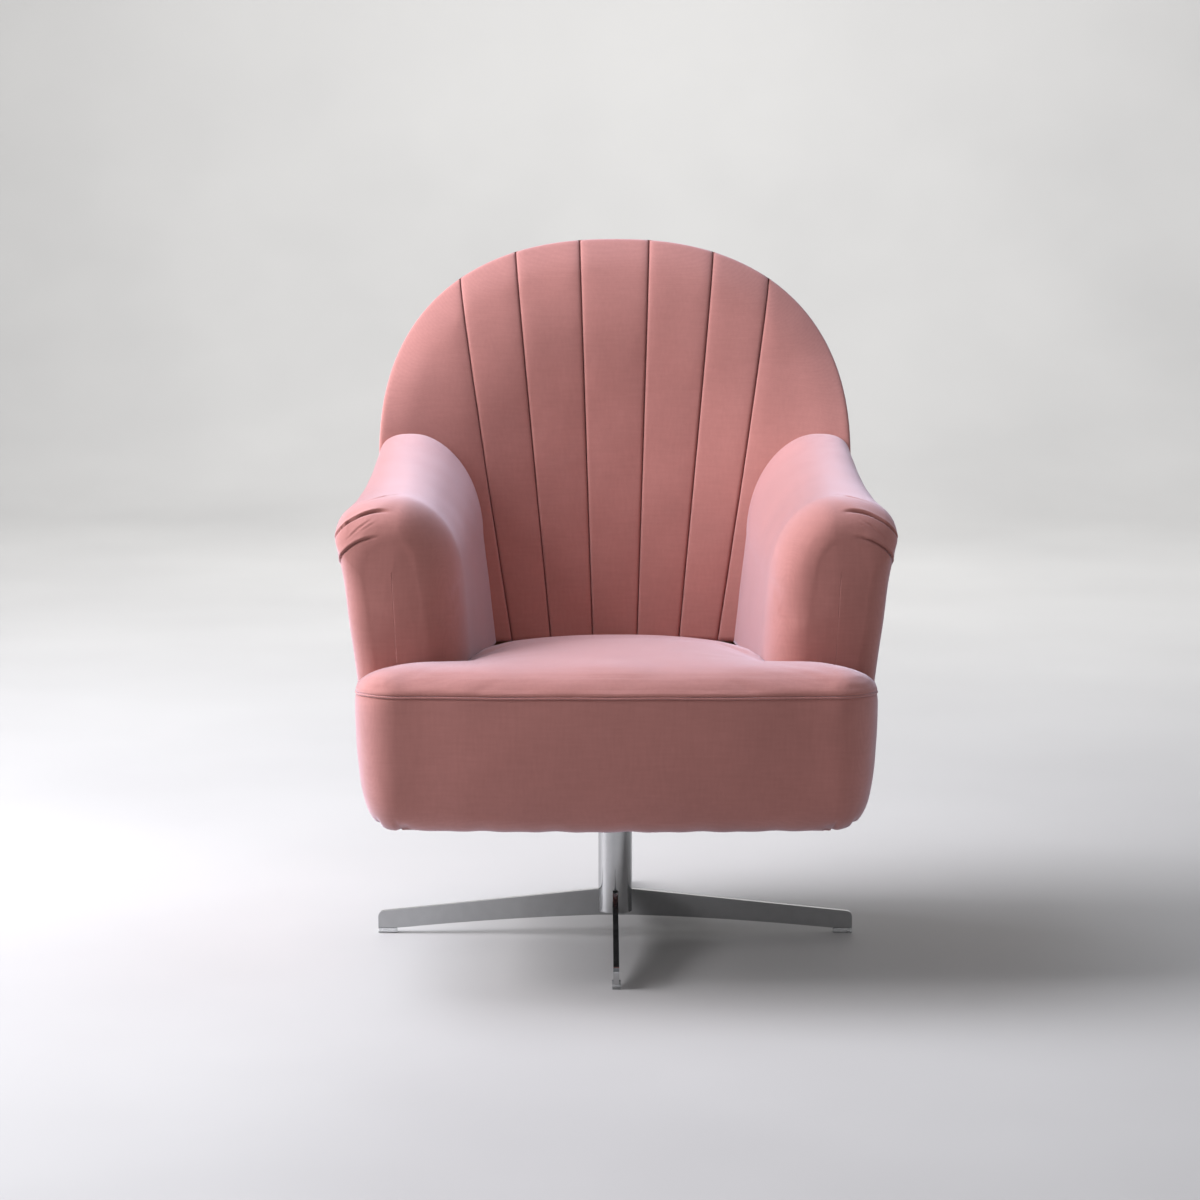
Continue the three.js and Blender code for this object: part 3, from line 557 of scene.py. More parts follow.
ROSE = upholstery("rose_fabric", (0.44, 0.175, 0.147), (0.38, 0.145, 0.122), (0.52, 0.225, 0.196))
CHROME = metal("chrome", (0.47, 0.476, 0.48), 0.035)
ZINC = metal("zinc", (0.56, 0.57, 0.58), 0.28, 0.12)
STEEL = powder_coat("dark_steel", (0.03, 0.031, 0.033))
CLEAR = clear_plastic("clear_glide")
NYLON = moulded_nylon("nylon")
BEECH_X = wood("beech_across", (0.46, 0.27, 0.13), (0.62, 0.4, 0.21), "x")
BEECH_Y = wood("beech_along", (0.46, 0.27, 0.13), (0.62, 0.4, 0.21), "y")
PLYWOOD = wood("plywood", (0.42, 0.26, 0.12), (0.56, 0.37, 0.19), "z", 20.0)
WEBBING = black_cloth("webbing", (0.02, 0.02, 0.022), 500.0, (1, 0.15, 1))
DUST_CLOTH = black_cloth("black_cloth", (0.012, 0.012, 0.013), 700.0, (1, 1, 1))


# ---- CAD pieces that keep their shape ----

def repaint(node, material, bevel=0.0):
    piece = frame["nodes"][node]
    piece.data.materials.clear()
    piece.data.materials.append(material)
    if bevel:
        modifier = piece.modifiers.new("edge", "BEVEL")
        modifier.width = bevel
        modifier.segments = 3
        modifier.limit_method = "ANGLE"
        modifier.angle_limit = math.radians(40)
        modifier.harden_normals = True


def finish_frame():
    finishes = {
        "chrome": (CHROME, 0.8 * MM), "clear_glide": (CLEAR, 0.8 * MM), "nylon": (NYLON, 0.3 * MM),
        "dark_steel": (STEEL, 0.6 * MM), "zinc": (ZINC, 0.5 * MM), "plywood": (PLYWOOD, 0),
        "webbing": (WEBBING, 0),
    }
    for row in frame["record"]["subparts"]:
        node, slot = row["node"], row["material_slot"]
        if slot == "beech":
            crosswise = node.endswith(("front", "rear"))
            repaint(node, BEECH_X if crosswise else BEECH_Y, 1.5 * MM)
        elif slot in finishes:
            material, bevel = finishes[slot]
            repaint(node, material, bevel)


# ---- Padded back ----

ROWS_BELOW_RIM = 70
RIM_STEPS = 16
SEAM_ROLL = 15 * MM
SEAM_SAG = 2.6 * MM
STITCH_DEPTH = 2.0 * MM
STITCH_WIDTH = 1.0 * MM
# Width of the painted shade along each seam.
SEAM_SHADE_WIDTH = 1.0 * MM
SEAM_GAP = 0.12 * MM


def seam_drop(distance):
    """How far the cloth drops towards a stitched seam at that distance."""
    near = 1 - clamp01(distance / SEAM_ROLL)
    pillow = SEAM_SAG * (1 - np.sqrt(np.maximum(0, 1 - near ** 2)))
    return pillow + STITCH_DEPTH * np.exp(-distance / STITCH_WIDTH)


def seam_shade_marks(edge):
    """Marks of painted seam shade for the outer and inner points of a slab, from each outer point's distance
    to its seam.
    """
    near = np.exp(-(edge / SEAM_SHADE_WIDTH) ** 2)
    return np.concatenate([near.ravel(), np.ones(near.size)])


def even_to_ends(count):
    """Steps from 0 to 1, closer together at both ends."""
    return (1 - np.cos(np.linspace(0, math.pi, count))) / 2


def outline_height(seam):
    """Height at which the line of a seam meets the back's outline."""
    z = np.full_like(seam, 1.0)
    for _ in range(60):
        z = back_top(seam_x(seam, z))
    return z


def fall_to_rim(top, radius):
    """Heights along a column, from the back's foot to its top: even steps, then the rolled rim."""
    angles = np.linspace(math.pi / 2, 0, RIM_STEPS + 1)[1:]
    body = np.linspace(0, 1, ROWS_BELOW_RIM)[:, None]
    low = mix(BACK_BOTTOM, top - radius, body)
    rim = top - radius * (1 - np.cos(angles))[:, None]
    return np.concatenate([low, rim])


def back_inner(x, z):
    """Rear face of the front padding: against the plywood shell, and thin at the rim."""
    room = smooth(0.55, 0.68, rim_inset(x, z))
    return middle_face(x, z) - mix(GAP, 5.8 * MM, room)


def front_padding(x, z, drop):
    """The two faces of a stretch of front padding over a grid of (x, z)."""
    outer = np.stack([x, front_skin(x, z) - 0.8 * MM, z], axis=2)
    normal = grid_normals(outer)
    facing = np.where(normal[..., 1:2] > 0, -1.0, 1.0)
    uneven = 0.5 * MM * ripple(x, outer[..., 1], z, 0.16)
    outer = outer - normal * facing * (drop + uneven * rim_share(x, z))[..., None]
    inner = np.stack([x, back_inner(x, z), z], axis=2)
    outer[..., 1] = np.minimum(outer[..., 1], inner[..., 1] - 0.5 * MM)
    return outer, inner


def channel(index):
    left, right = SEAMS[index - 1], SEAMS[index]
    share = even_to_ends(44)
    seam = mix(left, right, share)
    top = outline_height(seam)
    x_top = seam_x(seam, top)
    slope = np.abs(back_top(x_top + MM) - back_top(x_top - MM)) / (2 * MM)
    z = fall_to_rim(top, RIM_RADIUS * np.sqrt(1 + np.minimum(slope, 2.5) ** 2))
    centre, half = (left + right) / 2, (right - left) / 2
    x = seam_x(centre, z) + (seam_x(half, z) - SEAM_GAP) * (2 * share - 1)
    edge = (1 - np.abs(2 * share - 1)) * seam_x(half, z)
    outer, inner = front_padding(x, z, seam_drop(edge))
    return slab(outer, inner), seam_shade_marks(edge)


def wing():
    """Padding between the outer seam and the outline, on the +X side."""
    seam = SEAMS[-1]
    top = float(outline_height(np.array([seam]))[0])
    levels = mix(BACK_BOTTOM, top, 1 - (1 - np.linspace(0, 1, 90)) ** 1.25)
    columns = 46
    rows = []
    for z in levels:
        low = seam_x(seam, z) + SEAM_GAP
        high = float(back_half_width(z))
        width = max(high - low, 0.2 * MM)
        rim = min(RIM_RADIUS * 1.5, width * 0.8)
        share = even_to_ends(columns * 2 - 1)[:columns] * 2
        body = low + (width - rim) * share
        angles = np.linspace(math.pi / 2, 0, RIM_STEPS + 6)[1:]
        rolled = high - rim * (1 - np.cos(angles))
        rows.append(np.concatenate([body, rolled]))
    x = np.array(rows)
    z = np.repeat(levels[:, None], x.shape[1], axis=1)
    edge = x - seam_x(seam, z)
    drop = seam_drop(edge) * smooth(0, 30 * MM, top - z) ** 0.5
    outer, inner = front_padding(x, z, drop)
    return slab(outer, inner), seam_shade_marks(edge)


def mirror(points, faces):
    flipped = np.array(points) * np.array([-1, 1, 1])
    return flipped, [tuple(reversed(f)) for f in faces]


def upholster(name, shape, *nodes, fill=0.8, marks=None):
    piece = make_piece(name, *shape, ROSE, marks=marks)
    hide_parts(*nodes)
    return piece


def outline_point(a):
    """Point (x, z) of the back's outline. a is 0 at the foot on -X and 1 at the foot on +X."""
    side = np.where(a < 0.5, -1.0, 1.0)
    share = np.minimum(a, 1 - a) * 2
    straight = 0.34
    low = clamp01(share / straight)
    turn = clamp01((share - straight) / (1 - straight)) * math.pi / 2
    z_arch = ARCH_BASE + ARCH_HEIGHT * np.sin(turn) ** (2 / 2.4)
    x_arch = ARCH_HALF_WIDTH * np.cos(turn) ** (2 / 2.3)
    z = np.where(share < straight, mix(BACK_BOTTOM, ARCH_BASE, low), z_arch)
    x = np.where(share < straight, back_half_width(z), x_arch)
    return side * x, z


def outer_back():
    """The rear of the back: rings from the outline in to a short middle line."""
    a = np.linspace(0, 1, 181)
    x0, z0 = outline_point(a)
    target_z = np.minimum(z0, 0.78)
    angles = np.linspace(0, math.pi / 2, RIM_STEPS + 1)
    insets = RIM_RADIUS * (1 - np.cos(angles))
    length = np.hypot(x0, z0 - target_z)
    reach = np.concatenate([np.minimum(1, insets[:, None] / length),
                            mix(insets[-1] / length, 0.985, np.linspace(0, 1, 34)[1:, None])])
    x = x0 * (1 - reach)
    z = mix(z0, target_z, reach)
    outer = np.stack([x, rear_skin(x, z) + 0.8 * MM, z], axis=2)
    uneven = 0.7 * MM * ripple(x, outer[..., 1], z, 0.22, 1.0)
    outer[..., 1] += (uneven - 2.5 * MM * np.exp(-(z - BACK_BOTTOM) / (5 * MM))) * rim_share(x, z)
    room = smooth(0.55, 0.68, rim_inset(x, z))
    inner = np.stack([x, middle_face(x, z) + mix(GAP, 5.8 * MM, room), z], axis=2)
    return closed_over_middle(outer, inner)


def closed_over_middle(outer, inner):
    """A solid between two grids of rings, whose last ring is zipped up, left half to right half."""
    rows, columns = outer.shape[:2]
    foot, last = (rows - 1) * columns, columns - 1
    skin = grid_faces(rows, columns)
    for j in range(last // 2):
        quad = (foot + j, foot + j + 1, foot + last - j - 1, foot + last - j)
        skin.append(quad if j + 1 < last - j - 1 else quad[:2] + quad[3:])
    rim = list(range(columns)) + [i * columns + last for i in range(1, rows)]
    rim += [i * columns for i in range(rows - 1, 0, -1)]
    return two_skins(outer, inner, skin, rim)


def back_pinned(points, left, right):
    """Points held by the shell behind, the seams at either side and the foot."""
    x, y, z = points.T
    beside = np.minimum(x - seam_x(left, z), seam_x(right, z) - x)
    return (y > middle_face(x, z) - 12 * MM) | (beside < 4 * MM) | (z < BACK_BOTTOM + 6 * MM)


def outer_back_pinned(points):
    """Points held by the shell in front and at the foot."""
    x, y, z = points.T
    return (y < middle_face(x, z) + 12 * MM) | (z < BACK_BOTTOM + 6 * MM)


def build_back():
    for index in range(1, 6):
        shape, marks = channel(index)
        shape = settle(shape, lambda p, i=index: back_pinned(p, SEAMS[i - 1], SEAMS[i]), 8 * MM)
        upholster(f"channel_{index}", shape, f"back_channel_{index}", marks=marks)
    right, marks = wing()
    right = settle(right, lambda p: back_pinned(p, SEAMS[-1], 1.0), 10 * MM)
    upholster("wing_right", right, "back_wing_right", marks=marks)
    upholster("wing_left", mirror(*right), "back_wing_left", marks=marks)
    rear = settle(outer_back(), outer_back_pinned, 10 * MM)
    upholster("outer_back", rear, "outer_back_cover", fill=0.7)


# ---- Arms, on the +X side ----

def arm_outer(z, t):
    front = 0.36 + 0.14 * (z - 0.416) + 6 * MM * clamp01((z - 0.54) / 0.08) ** 2
    return mix(back_half_width(np.minimum(z, ARCH_BASE)), front, np.maximum(0, 1 - t) ** 1.5)


def arm_inner(z, t):
    return mix(0.204, 0.174, t ** 1.4) + mix(0.07, 0.13, t) * (z - 0.42)


def arm_crest(t):
    return mix(ARM_FRONT_CREST, ARM_REAR_CREST, t * t)


def roll(distance, radius):
    share = clamp01(distance / radius)
    return radius * (1 - np.sqrt(np.maximum(0, 1 - (1 - share) ** 2)))


# Points up the inner side, over both halves of the top, down the outer side and under.
ARM_COLUMNS = [25, 52, 83, 69, 8]
CREST_ROLL = 56 * MM
INNER_ROLL = 58 * MM
OUTER_ROLL = 32 * MM


def arm_section(t):
    """Points (x, z) round the arm, from its inner side over its top, at one t or one for each."""
    t = np.broadcast_to(t, sum(ARM_COLUMNS)).astype(float)
    t1, t2, t3, t4, t5 = np.split(t, np.cumsum(ARM_COLUMNS)[:-1])

    def crest(t):
        return arm_crest(t) - roll(t * ARM_LENGTH, CREST_ROLL)

    def inner_side(z, t):
        return arm_inner(z, t) + roll(t * ARM_LENGTH, INNER_ROLL)

    def outer_side(z, t):
        return arm_outer(z, t) - roll(t * ARM_LENGTH, OUTER_ROLL)

    def inner_level(t):
        return crest(t) - mix(0.11, 0.15, t)

    def outer_level(t):
        return crest(t) - mix(0.05, 0.044, t)

    z1 = mix(BACK_BOTTOM, inner_level(t1), np.linspace(0, 1, 26)[:-1])
    x1 = inner_side(z1, t1)
    a = np.linspace(0, math.pi / 2, 52)
    z2 = mix(inner_level(t2), crest(t2), np.sin(a) ** 1.05)
    x2 = mix(ARM_MIDDLE, inner_side(inner_level(t2), t2), clamp01(np.cos(a)) ** 1.05)
    a = np.linspace(math.pi / 2, 0, 84)[1:]
    z3 = mix(outer_level(t3), crest(t3), np.sin(a) ** 0.85)
    x3 = mix(ARM_MIDDLE, outer_side(outer_level(t3), t3), clamp01(np.cos(a)) ** 0.85)
    z4 = mix(outer_level(t4), BACK_BOTTOM, np.linspace(0, 1, 70)[1:] ** 1.3)
    x4 = outer_side(z4, t4)
    z5 = np.full(8, BACK_BOTTOM)
    x5 = mix(outer_side(z5, t5), inner_side(z5, t5), np.linspace(0, 1, 10)[1:-1])
    return np.concatenate([x1, x2, x3, x4, x5]), np.concatenate([z1, z2, z3, z4, z5])


def arm_ends():
    """For each point of the section, the t at which it reaches the back's front skin."""
    low, high = np.full(sum(ARM_COLUMNS), 0.5), np.full(sum(ARM_COLUMNS), 1.0)
    for _ in range(24):
        t = (low + high) / 2
        x, z = arm_section(t)
        hit = mix(ARM_FRONT, middle_face(x, z), t) > front_skin(x, z) - 0.6 * MM
        high, low = np.where(hit, t, high), np.where(hit, low, t)
    return high


# (distance round the corner, height) along each fold on an arm's front outer corner, and its depth in mm.
PLEATS = [
    ([(0.346, 0.6755), (0.358, 0.6765), (0.370, 0.6755), (0.385, 0.6705), (0.400, 0.6610)], 1.6),
    ([(0.326, 0.6510), (0.342, 0.6530), (0.356, 0.6520), (0.372, 0.6470), (0.390, 0.6360), (0.410, 0.6190),
      (0.432, 0.6030)], 3.2),
    ([(0.322, 0.6210), (0.338, 0.6185), (0.354, 0.6140), (0.370, 0.6060), (0.388, 0.5930), (0.408, 0.5780),
      (0.432, 0.5680)], 2.8),
    ([(0.346, 0.6440), (0.358, 0.6350), (0.370, 0.6240), (0.384, 0.6090)], 0.7),
    ([(0.338, 0.6400), (0.350, 0.6320), (0.360, 0.6240)], 0.4),
]


def folds(wrap, z):
    """Height of the folds over the arm's skin, swollen above each crease, and the painted shade along the
    creases.
    """
    total, marks = np.zeros_like(wrap), np.zeros_like(wrap)
    for points, size in PLEATS:
        curve = spline(points, 8)
        line = np.interp(wrap, curve[:, 0], curve[:, 1])
        start, end = curve[0, 0], curve[-1, 0]
        length = end - start
        along = smooth(start, start + 0.35 * length, wrap) * (1 - smooth(end - 0.4 * length, end, wrap))
        above = z - line
        lip = np.exp(-np.maximum(above, 0) / (7 * MM)) * smooth(-0.8 * MM, 1.2 * MM, above)
        crease = np.exp(-((above + 1.2 * MM) / (1.5 * MM)) ** 2)
        total += along * size * MM * (lip - 1.2 * crease)
        # Painted shade along each crease, fuller for the deeper folds.
        marks = np.maximum(marks, along * crease * min(1, (size / 2.8) ** 2))
    return total, marks


FACE_RINGS = 60


def arm():
    """Rings over the front face, round its rolled edge, and back to the seam with the chair's back."""
    ends = arm_ends()
    edge = CREST_ROLL / ARM_LENGTH
    rolled = edge * (1 - np.cos(np.linspace(0, math.pi / 2, 64)))
    stations = np.concatenate([rolled, mix(edge, 1.0, 1 - (1 - np.linspace(0, 1, 80)[1:]) ** 1.35)])
    loops = []
    x0, z0 = arm_section(0.0)
    spine_z = np.minimum(z0, z0.max() - 42 * MM)
    spine_x = (x0.min() + x0.max()) / 2 + (spine_z - 0.5) * 0.05
    for k in range(FACE_RINGS):
        share = (1 - k / FACE_RINGS) ** 1.3
        x, z = mix(x0, spine_x, share), mix(z0, spine_z, share)
        crown = 2.0 * MM * smooth(0, 1, share) * smooth(0.45, 0.53, z)
        loops.append(np.stack([x, ARM_FRONT - crown, z], axis=1))
    for t in stations:
        own = t if t <= edge else mix(edge, ends, (t - edge) / (1 - edge))
        x, z = arm_section(own)
        loops.append(np.stack([x, mix(ARM_FRONT, middle_face(x, z), own), z], axis=1))
    return finish_arm(np.array(loops))


def finish_arm(grid):
    """Folds, soft unevenness, the turned-in seam, the outer panel's pocket, and painted shade along the
    creases and the seam with the back.
    """
    normal = grid_normals(grid)
    x, y, z = grid[..., 0], grid[..., 1], grid[..., 2]
    outside = np.sign(np.sum(normal * np.stack([x - ARM_MIDDLE, y + 0.1, z - 0.55], axis=2), axis=2))
    normal = normal * np.where(outside == 0, 1, outside)[..., None]
    wrap = x + np.maximum(0, y - ARM_FRONT)
    outer_half = x > ARM_MIDDLE
    fold, marks = folds(wrap, z)
    fold, marks = fold * outer_half, marks * outer_half
    uneven = 0.6 * MM * ripple(x, y, z, 0.14, 2.0) * smooth(0.43, 0.5, z)
    back_distance = np.linalg.norm(grid - grid[-1], axis=2)
    before_seam = np.linspace(1, 0, len(grid) - FACE_RINGS)
    turn = np.zeros(len(grid))
    turn[FACE_RINGS:] = 2.2 * MM * np.exp(-before_seam / 0.012)
    t_like = clamp01((y - ARM_FRONT) / ARM_LENGTH)
    pocket_top = arm_crest(t_like) - PANEL_BELOW
    pocket = (COVER_DEPTH + 0.4 * MM) * smooth(-1.5 * MM, 1.5 * MM, pocket_top - z)
    pocket = pocket * outer_half * smooth(0.085, 0.1, t_like)
    # Painted shade along the seam where the arm meets the back.
    marks = np.maximum(marks, np.exp(-back_distance / (1.6 * MM)))
    grid = grid + normal * (fold + uneven - turn[:, None] - pocket)[..., None]
    return tube_solid(grid), np.concatenate([marks.ravel(), [0.0, 1.0]])


def side_cover():
    """A thin padded panel in the arm's outer side."""
    t = np.linspace(0.1, 0.985, 70)
    share = even_to_ends(50)
    rows = []
    for value in t:
        z = mix(BACK_BOTTOM + 0.5 * MM, arm_crest(value) - PANEL_BELOW - 1.5 * MM, share)
        x = arm_outer(z, value)
        y = mix(ARM_FRONT, middle_face(x, z), value)
        rows.append(np.stack([x, y, z], axis=1))
    outer = np.array(rows)
    edge_z = np.minimum(outer[..., 2] - BACK_BOTTOM, (outer[:, -1:, 2] - outer[..., 2]))
    edge_y = np.minimum(outer[..., 1] - outer[:1, :, 1], outer[-1:, :, 1] - outer[..., 1])
    edge = np.minimum(edge_z, edge_y)
    inner = outer.copy()
    inner[..., 0] -= COVER_DEPTH
    puff = 1.2 * MM * smooth(0, 40 * MM, edge) - roll(edge, 3.5 * MM)
    outer[..., 0] += np.maximum(puff, -COVER_DEPTH + 1 * MM)
    return slab(outer, inner)


def arm_pinned(points):
    """Points held under the arm, against the back and in the outer side's pocket."""
    x, y, z = points.T
    t = clamp01((y - ARM_FRONT) / ARM_LENGTH)
    outside = (x > ARM_MIDDLE) & (z < arm_crest(t) - PANEL_BELOW + 8 * MM) & (t > 0.07)
    return (z < BACK_BOTTOM + 6 * MM) | (y > front_skin(x, z) - 8 * MM) | outside


def build_arms():
    right, marks = arm()
    right = settle(right, arm_pinned, 10 * MM, crease=0.5)
    upholster("arm_right", right, "arm_pad_right", marks=marks)
    upholster("arm_left", mirror(*right), "arm_pad_left", marks=marks)
    cover = side_cover()
    upholster("side_panel_right", cover, "side_cover_right", fill=0.5)
    upholster("side_panel_left", mirror(*cover), "side_cover_left", fill=0.5)


# ---- Seat box ----

def box_outline():
    """The seat box's outline from above, counter-clockwise from the front's middle."""
    def front_bow(x):
        return BOX_FRONT + 12 * MM * (x / 0.3) ** 2

    cx = BOX_HALF_WIDTH - CORNER_RADIUS
    cy = front_bow(0.29) + CORNER_RADIUS
    front_x = np.linspace(0, cx, 40)[:-1]
    front = np.stack([front_x, mix(front_bow(front_x), cy - CORNER_RADIUS, smooth(0.2, cx, front_x))], axis=1)
    a = np.linspace(0, math.pi / 2, 24)
    corner = np.stack([cx + CORNER_RADIUS * np.sin(a), cy - CORNER_RADIUS * np.cos(a)], axis=1)
    rear_x = float(back_half_width(WELT_Z))
    rear_corner = (rear_x, float(middle_face(rear_x, WELT_Z)))
    side = spline([corner[-1], (0.3575, -0.262), (0.354, -0.14), (0.349, -0.02), rear_corner], 16)[1:-1]
    turn = np.linspace(math.pi / 2, 0, 60)
    back_x = rear_x * np.sin(turn)
    rear = np.stack([back_x, rear_skin(back_x, BACK_BOTTOM)], axis=1)
    half = np.concatenate([front, corner, side, rear])
    other = half[1:-1][::-1] * np.array([-1, 1])
    return np.concatenate([half, other])


def inset(outline, distance):
    """The outline moved inwards. Past 40 mm it shrinks as a whole, as the frame's does."""
    square = min(distance, 0.04)
    along = np.roll(outline, -1, axis=0) - np.roll(outline, 1, axis=0)
    along = along / np.linalg.norm(along, axis=1, keepdims=True)
    normal = np.stack([-along[:, 1], along[:, 0]], axis=1)
    return (outline + normal * square) * (1 - (distance - square) / BOX_HALF_WIDTH)


BORDER_OUTER = [  # (distance inside the outline, height), from the welt down and under
    (2.5, 412), (0.6, 406), (0.0, 392), (1.6, 350), (5, 304), (8.5, 280), (13, 260), (20, 243), (30, 230.5),
    (43, 222.5), (60, 219.5),
]
BORDER_INNER = [(60, 223.5), (47, 228), (38, 262), (26, 395), (26, 411)]
BORDER_INNER_STEPS = 3
BORDER_INNER_POINTS = BORDER_INNER_STEPS * (len(BORDER_INNER) - 1) + 1


def border_profile():
    return np.concatenate([spline(BORDER_OUTER, 7), spline(BORDER_INNER, BORDER_INNER_STEPS)]) * MM


TUCKS = [0.287, 0.296, 0.322]  # distance from the middle line of the gathers at a lower corner


def border(start, stop):
    """A stretch of the border between two points of the outline, by index."""
    outline = box_outline()
    profile = border_profile()
    layers = np.array([inset(outline, d) for d, _ in profile])
    order = np.arange(start, stop + 1) % len(outline)
    loops = np.zeros((len(order), len(profile), 3))
    loops[..., :2] = layers[:, order].transpose(1, 0, 2)
    loops[..., 2] = profile[None, :, 1]
    x, y, z = loops[..., 0], loops[..., 1], loops[..., 2]
    radial = loops[..., :2] / np.maximum(np.linalg.norm(loops[..., :2], axis=2, keepdims=True), 1e-9)
    low = 1 - smooth(BOX_BOTTOM + 2 * MM, BOX_BOTTOM + 26 * MM, z)
    gather = np.zeros_like(x)
    for tuck in TUCKS:
        lean = 0.25 * (z - BOX_BOTTOM)
        gather += np.exp(-((np.abs(x) - tuck - lean) / (2.6 * MM)) ** 2)
    outer_face = np.arange(len(profile)) < len(profile) - BORDER_INNER_POINTS
    push = (0.7 * MM * ripple(x, y, z, 0.2, 3.0) * smooth(0.24, 0.27, z) * smooth(0.41, 0.395, z)
            - 4.5 * MM * gather * low) * outer_face[None, :]
    loops[..., :2] += radial * push[..., None]
    loops[..., 2] += (1.0 * MM * np.sin(x * 95) * np.sin(x * 31 + 1) + 2.5 * MM * gather) * low
    return tube_solid(loops)


def outline_split():
    """Indices of the outline at the border's seams, counter-clockwise from the front's middle."""
    outline = box_outline()
    right = outline[:len(outline) // 2 + 1]
    front, rear = (int(np.argmin(np.abs(right[:, 1] - y) + 10 * (right[:, 0] < 0.2)))
                   for y in (FRONT_SPLIT, REAR_SPLIT))
    return len(outline), front, rear


def border_pinned(points):
    """Points held at the welt, under the box and on the frame behind."""
    x, y, z = points.T
    behind = (y > BOX_FRONT + 24 * MM) & (np.abs(x) < 0.3) | (y > FRONT_SPLIT - 8 * MM)
    return (z > WELT_Z - 8 * MM) | (z < BOX_BOTTOM + 4 * MM) | behind


def build_border():
    count, front, rear = outline_split()
    face = settle(border(count - front, count + front), border_pinned, 8 * MM)
    upholster("border_front", face, "front_border")
    upholster("border_right", border(front, rear), "side_border_right")
    upholster("border_left", border(count - rear, count - front), "side_border_left")
    upholster("border_rear", border(rear, count - rear), "rear_border")


SEAT_PROFILE = [  # (distance inside the outline, height) from the welt to the crown
    (2.6, 413.2), (0.9, 416), (2, 420.5), (6, 426), (12, 431.5), (20, 436.5), (32, 441.5), (48, 446.2),
    (70, 451), (100, 456.6), (135, 461.5), (185, 466),
]
SEAT_CROWN_Y = -215 * MM
SEAT_FALL = 58 * MM
SEAT_DOME = 2 * MM
SEAT_CROSS_FALL = 17 * MM


def seat_room(x, y):
    """Distance inside the edges where the seat meets the arms and the back."""
    t = clamp01((y - ARM_FRONT) / ARM_LENGTH)
    beside = arm_inner(BACK_BOTTOM, t) - MM - np.abs(x)
    before = (ARM_FRONT - MM) - y
    at_arm = np.where(before > 0, np.where(beside > 0, np.hypot(before, beside), before), beside)
    at_back = inside_face(x, BACK_BOTTOM) - 2 * MM - y
    return np.minimum(at_arm, at_back)


def seat_dome():
    outline = box_outline()
    profile = spline(SEAT_PROFILE, 6) * MM
    rows = [inset(outline, d) for d, _ in profile]
    heights = [z for _, z in profile]
    last, top = rows[-1], heights[-1]
    for share in np.linspace(0, 1, 26)[1:-1]:
        rows.append(last * (1 - share) + np.array([0, -0.02]) * share)
        heights.append(top)
    grid = np.array([np.column_stack([r, np.full(len(r), h)]) for r, h in zip(rows, heights)])
    x, y, z = grid[..., 0], grid[..., 1], grid[..., 2]
    behind = clamp01((y - SEAT_CROWN_Y) / (FRONT_FACE_Y - SEAT_CROWN_Y))
    uneven = 0.8 * MM * ripple(x, y, z, 0.19, 4.0) * smooth(0.436, 0.444, z)
    share = clamp01((z - WELT_Z - 3 * MM) / (40 * MM))
    dome = SEAT_DOME - SEAT_CROSS_FALL * np.minimum(1, np.abs(x) / 0.2) ** 2 * smooth(-0.38, -0.22, y)
    grid[..., 2] = z + uneven + share * (dome - SEAT_FALL * (behind - 0.12 * np.sin(math.pi * behind)))
    points = list(grid.reshape(-1, 3))
    count = len(outline)
    faces = grid_faces(len(grid), count, wrap=True)
    points.append(grid[-1].mean(axis=0))
    tip = len(points) - 1
    start = (len(grid) - 1) * count
    faces += [(start + j, start + (j + 1) % count, tip) for j in range(count)]
    foot = inset(outline, 30 * MM)
    first = len(points)
    points += [np.array([px, py, WELT_Z + 0.6 * MM]) for px, py in foot]
    second = len(points)
    points += [np.array([px, py, SEAT_LOW.z]) for px, py in foot]
    for j in range(count):
        k = (j + 1) % count
        faces.append((j, first + j, first + k, k))
        faces.append((first + j, second + j, second + k, first + k))
    faces.append(tuple(second + j for j in range(count)))
    return np.array(points), outward(points, faces)


def seat_pinned(points):
    """Points held at the welt and under the arms and the back."""
    x, y, z = points.T
    return (z < WELT_Z + 5 * MM) | (seat_room(x, y) < -6 * MM)


def build_seat():
    """The seat shows before and between the arms, and dips into the box under them and the back."""
    points, faces = seat_dome()
    x, y, z = points.T
    room = seat_room(x, y)
    top = z > WELT_Z + 8 * MM
    z = z - np.where(top, 0.5 * roll(np.maximum(room, 0), 18 * MM), 0)
    z = np.where(top, np.maximum(z, WELT_Z + 1.5 * MM), z)
    under = smooth(10 * MM, 24 * MM, -room)
    z = np.where(z > WELT_Z, mix(z, WELT_Z - 10 * MM, under), z)
    shrink = 1 - 0.03 * under
    shape = np.stack([x * shrink, y * shrink, z], axis=1), faces
    upholster("seat", settle(shape, seat_pinned, 22 * MM), "seat_pad", fill=0.85)


WELT_RADIUS = 1.5 * MM
WELT_SIDES = 10


def build_welt():
    """A thin round welt along the seam between the seat and its border."""
    outline = inset(box_outline(), 1.4 * MM)
    path = np.column_stack([outline, np.full(len(outline), WELT_Z + 0.6 * MM)])
    along = np.arange(len(path))
    path[:, 2] += 0.5 * MM * np.sin(along * 0.23) * np.sin(along * 0.071 + 1)
    ahead = np.roll(path, -1, axis=0) - np.roll(path, 1, axis=0)
    ahead = ahead / np.linalg.norm(ahead, axis=1, keepdims=True)
    side = np.cross(ahead, [0, 0, 1.0])
    side = side / np.linalg.norm(side, axis=1, keepdims=True)
    over = np.cross(side, ahead)
    a = np.linspace(0, 2 * math.pi, WELT_SIDES + 1)[:-1, None]
    loops = path[:, None] + WELT_RADIUS * (side[:, None] * np.cos(a) + over[:, None] * np.sin(a))
    points = loops.reshape(-1, 3)
    welt = make_piece("welt", points, outward(points, hoop_faces(len(path), WELT_SIDES)), ROSE)


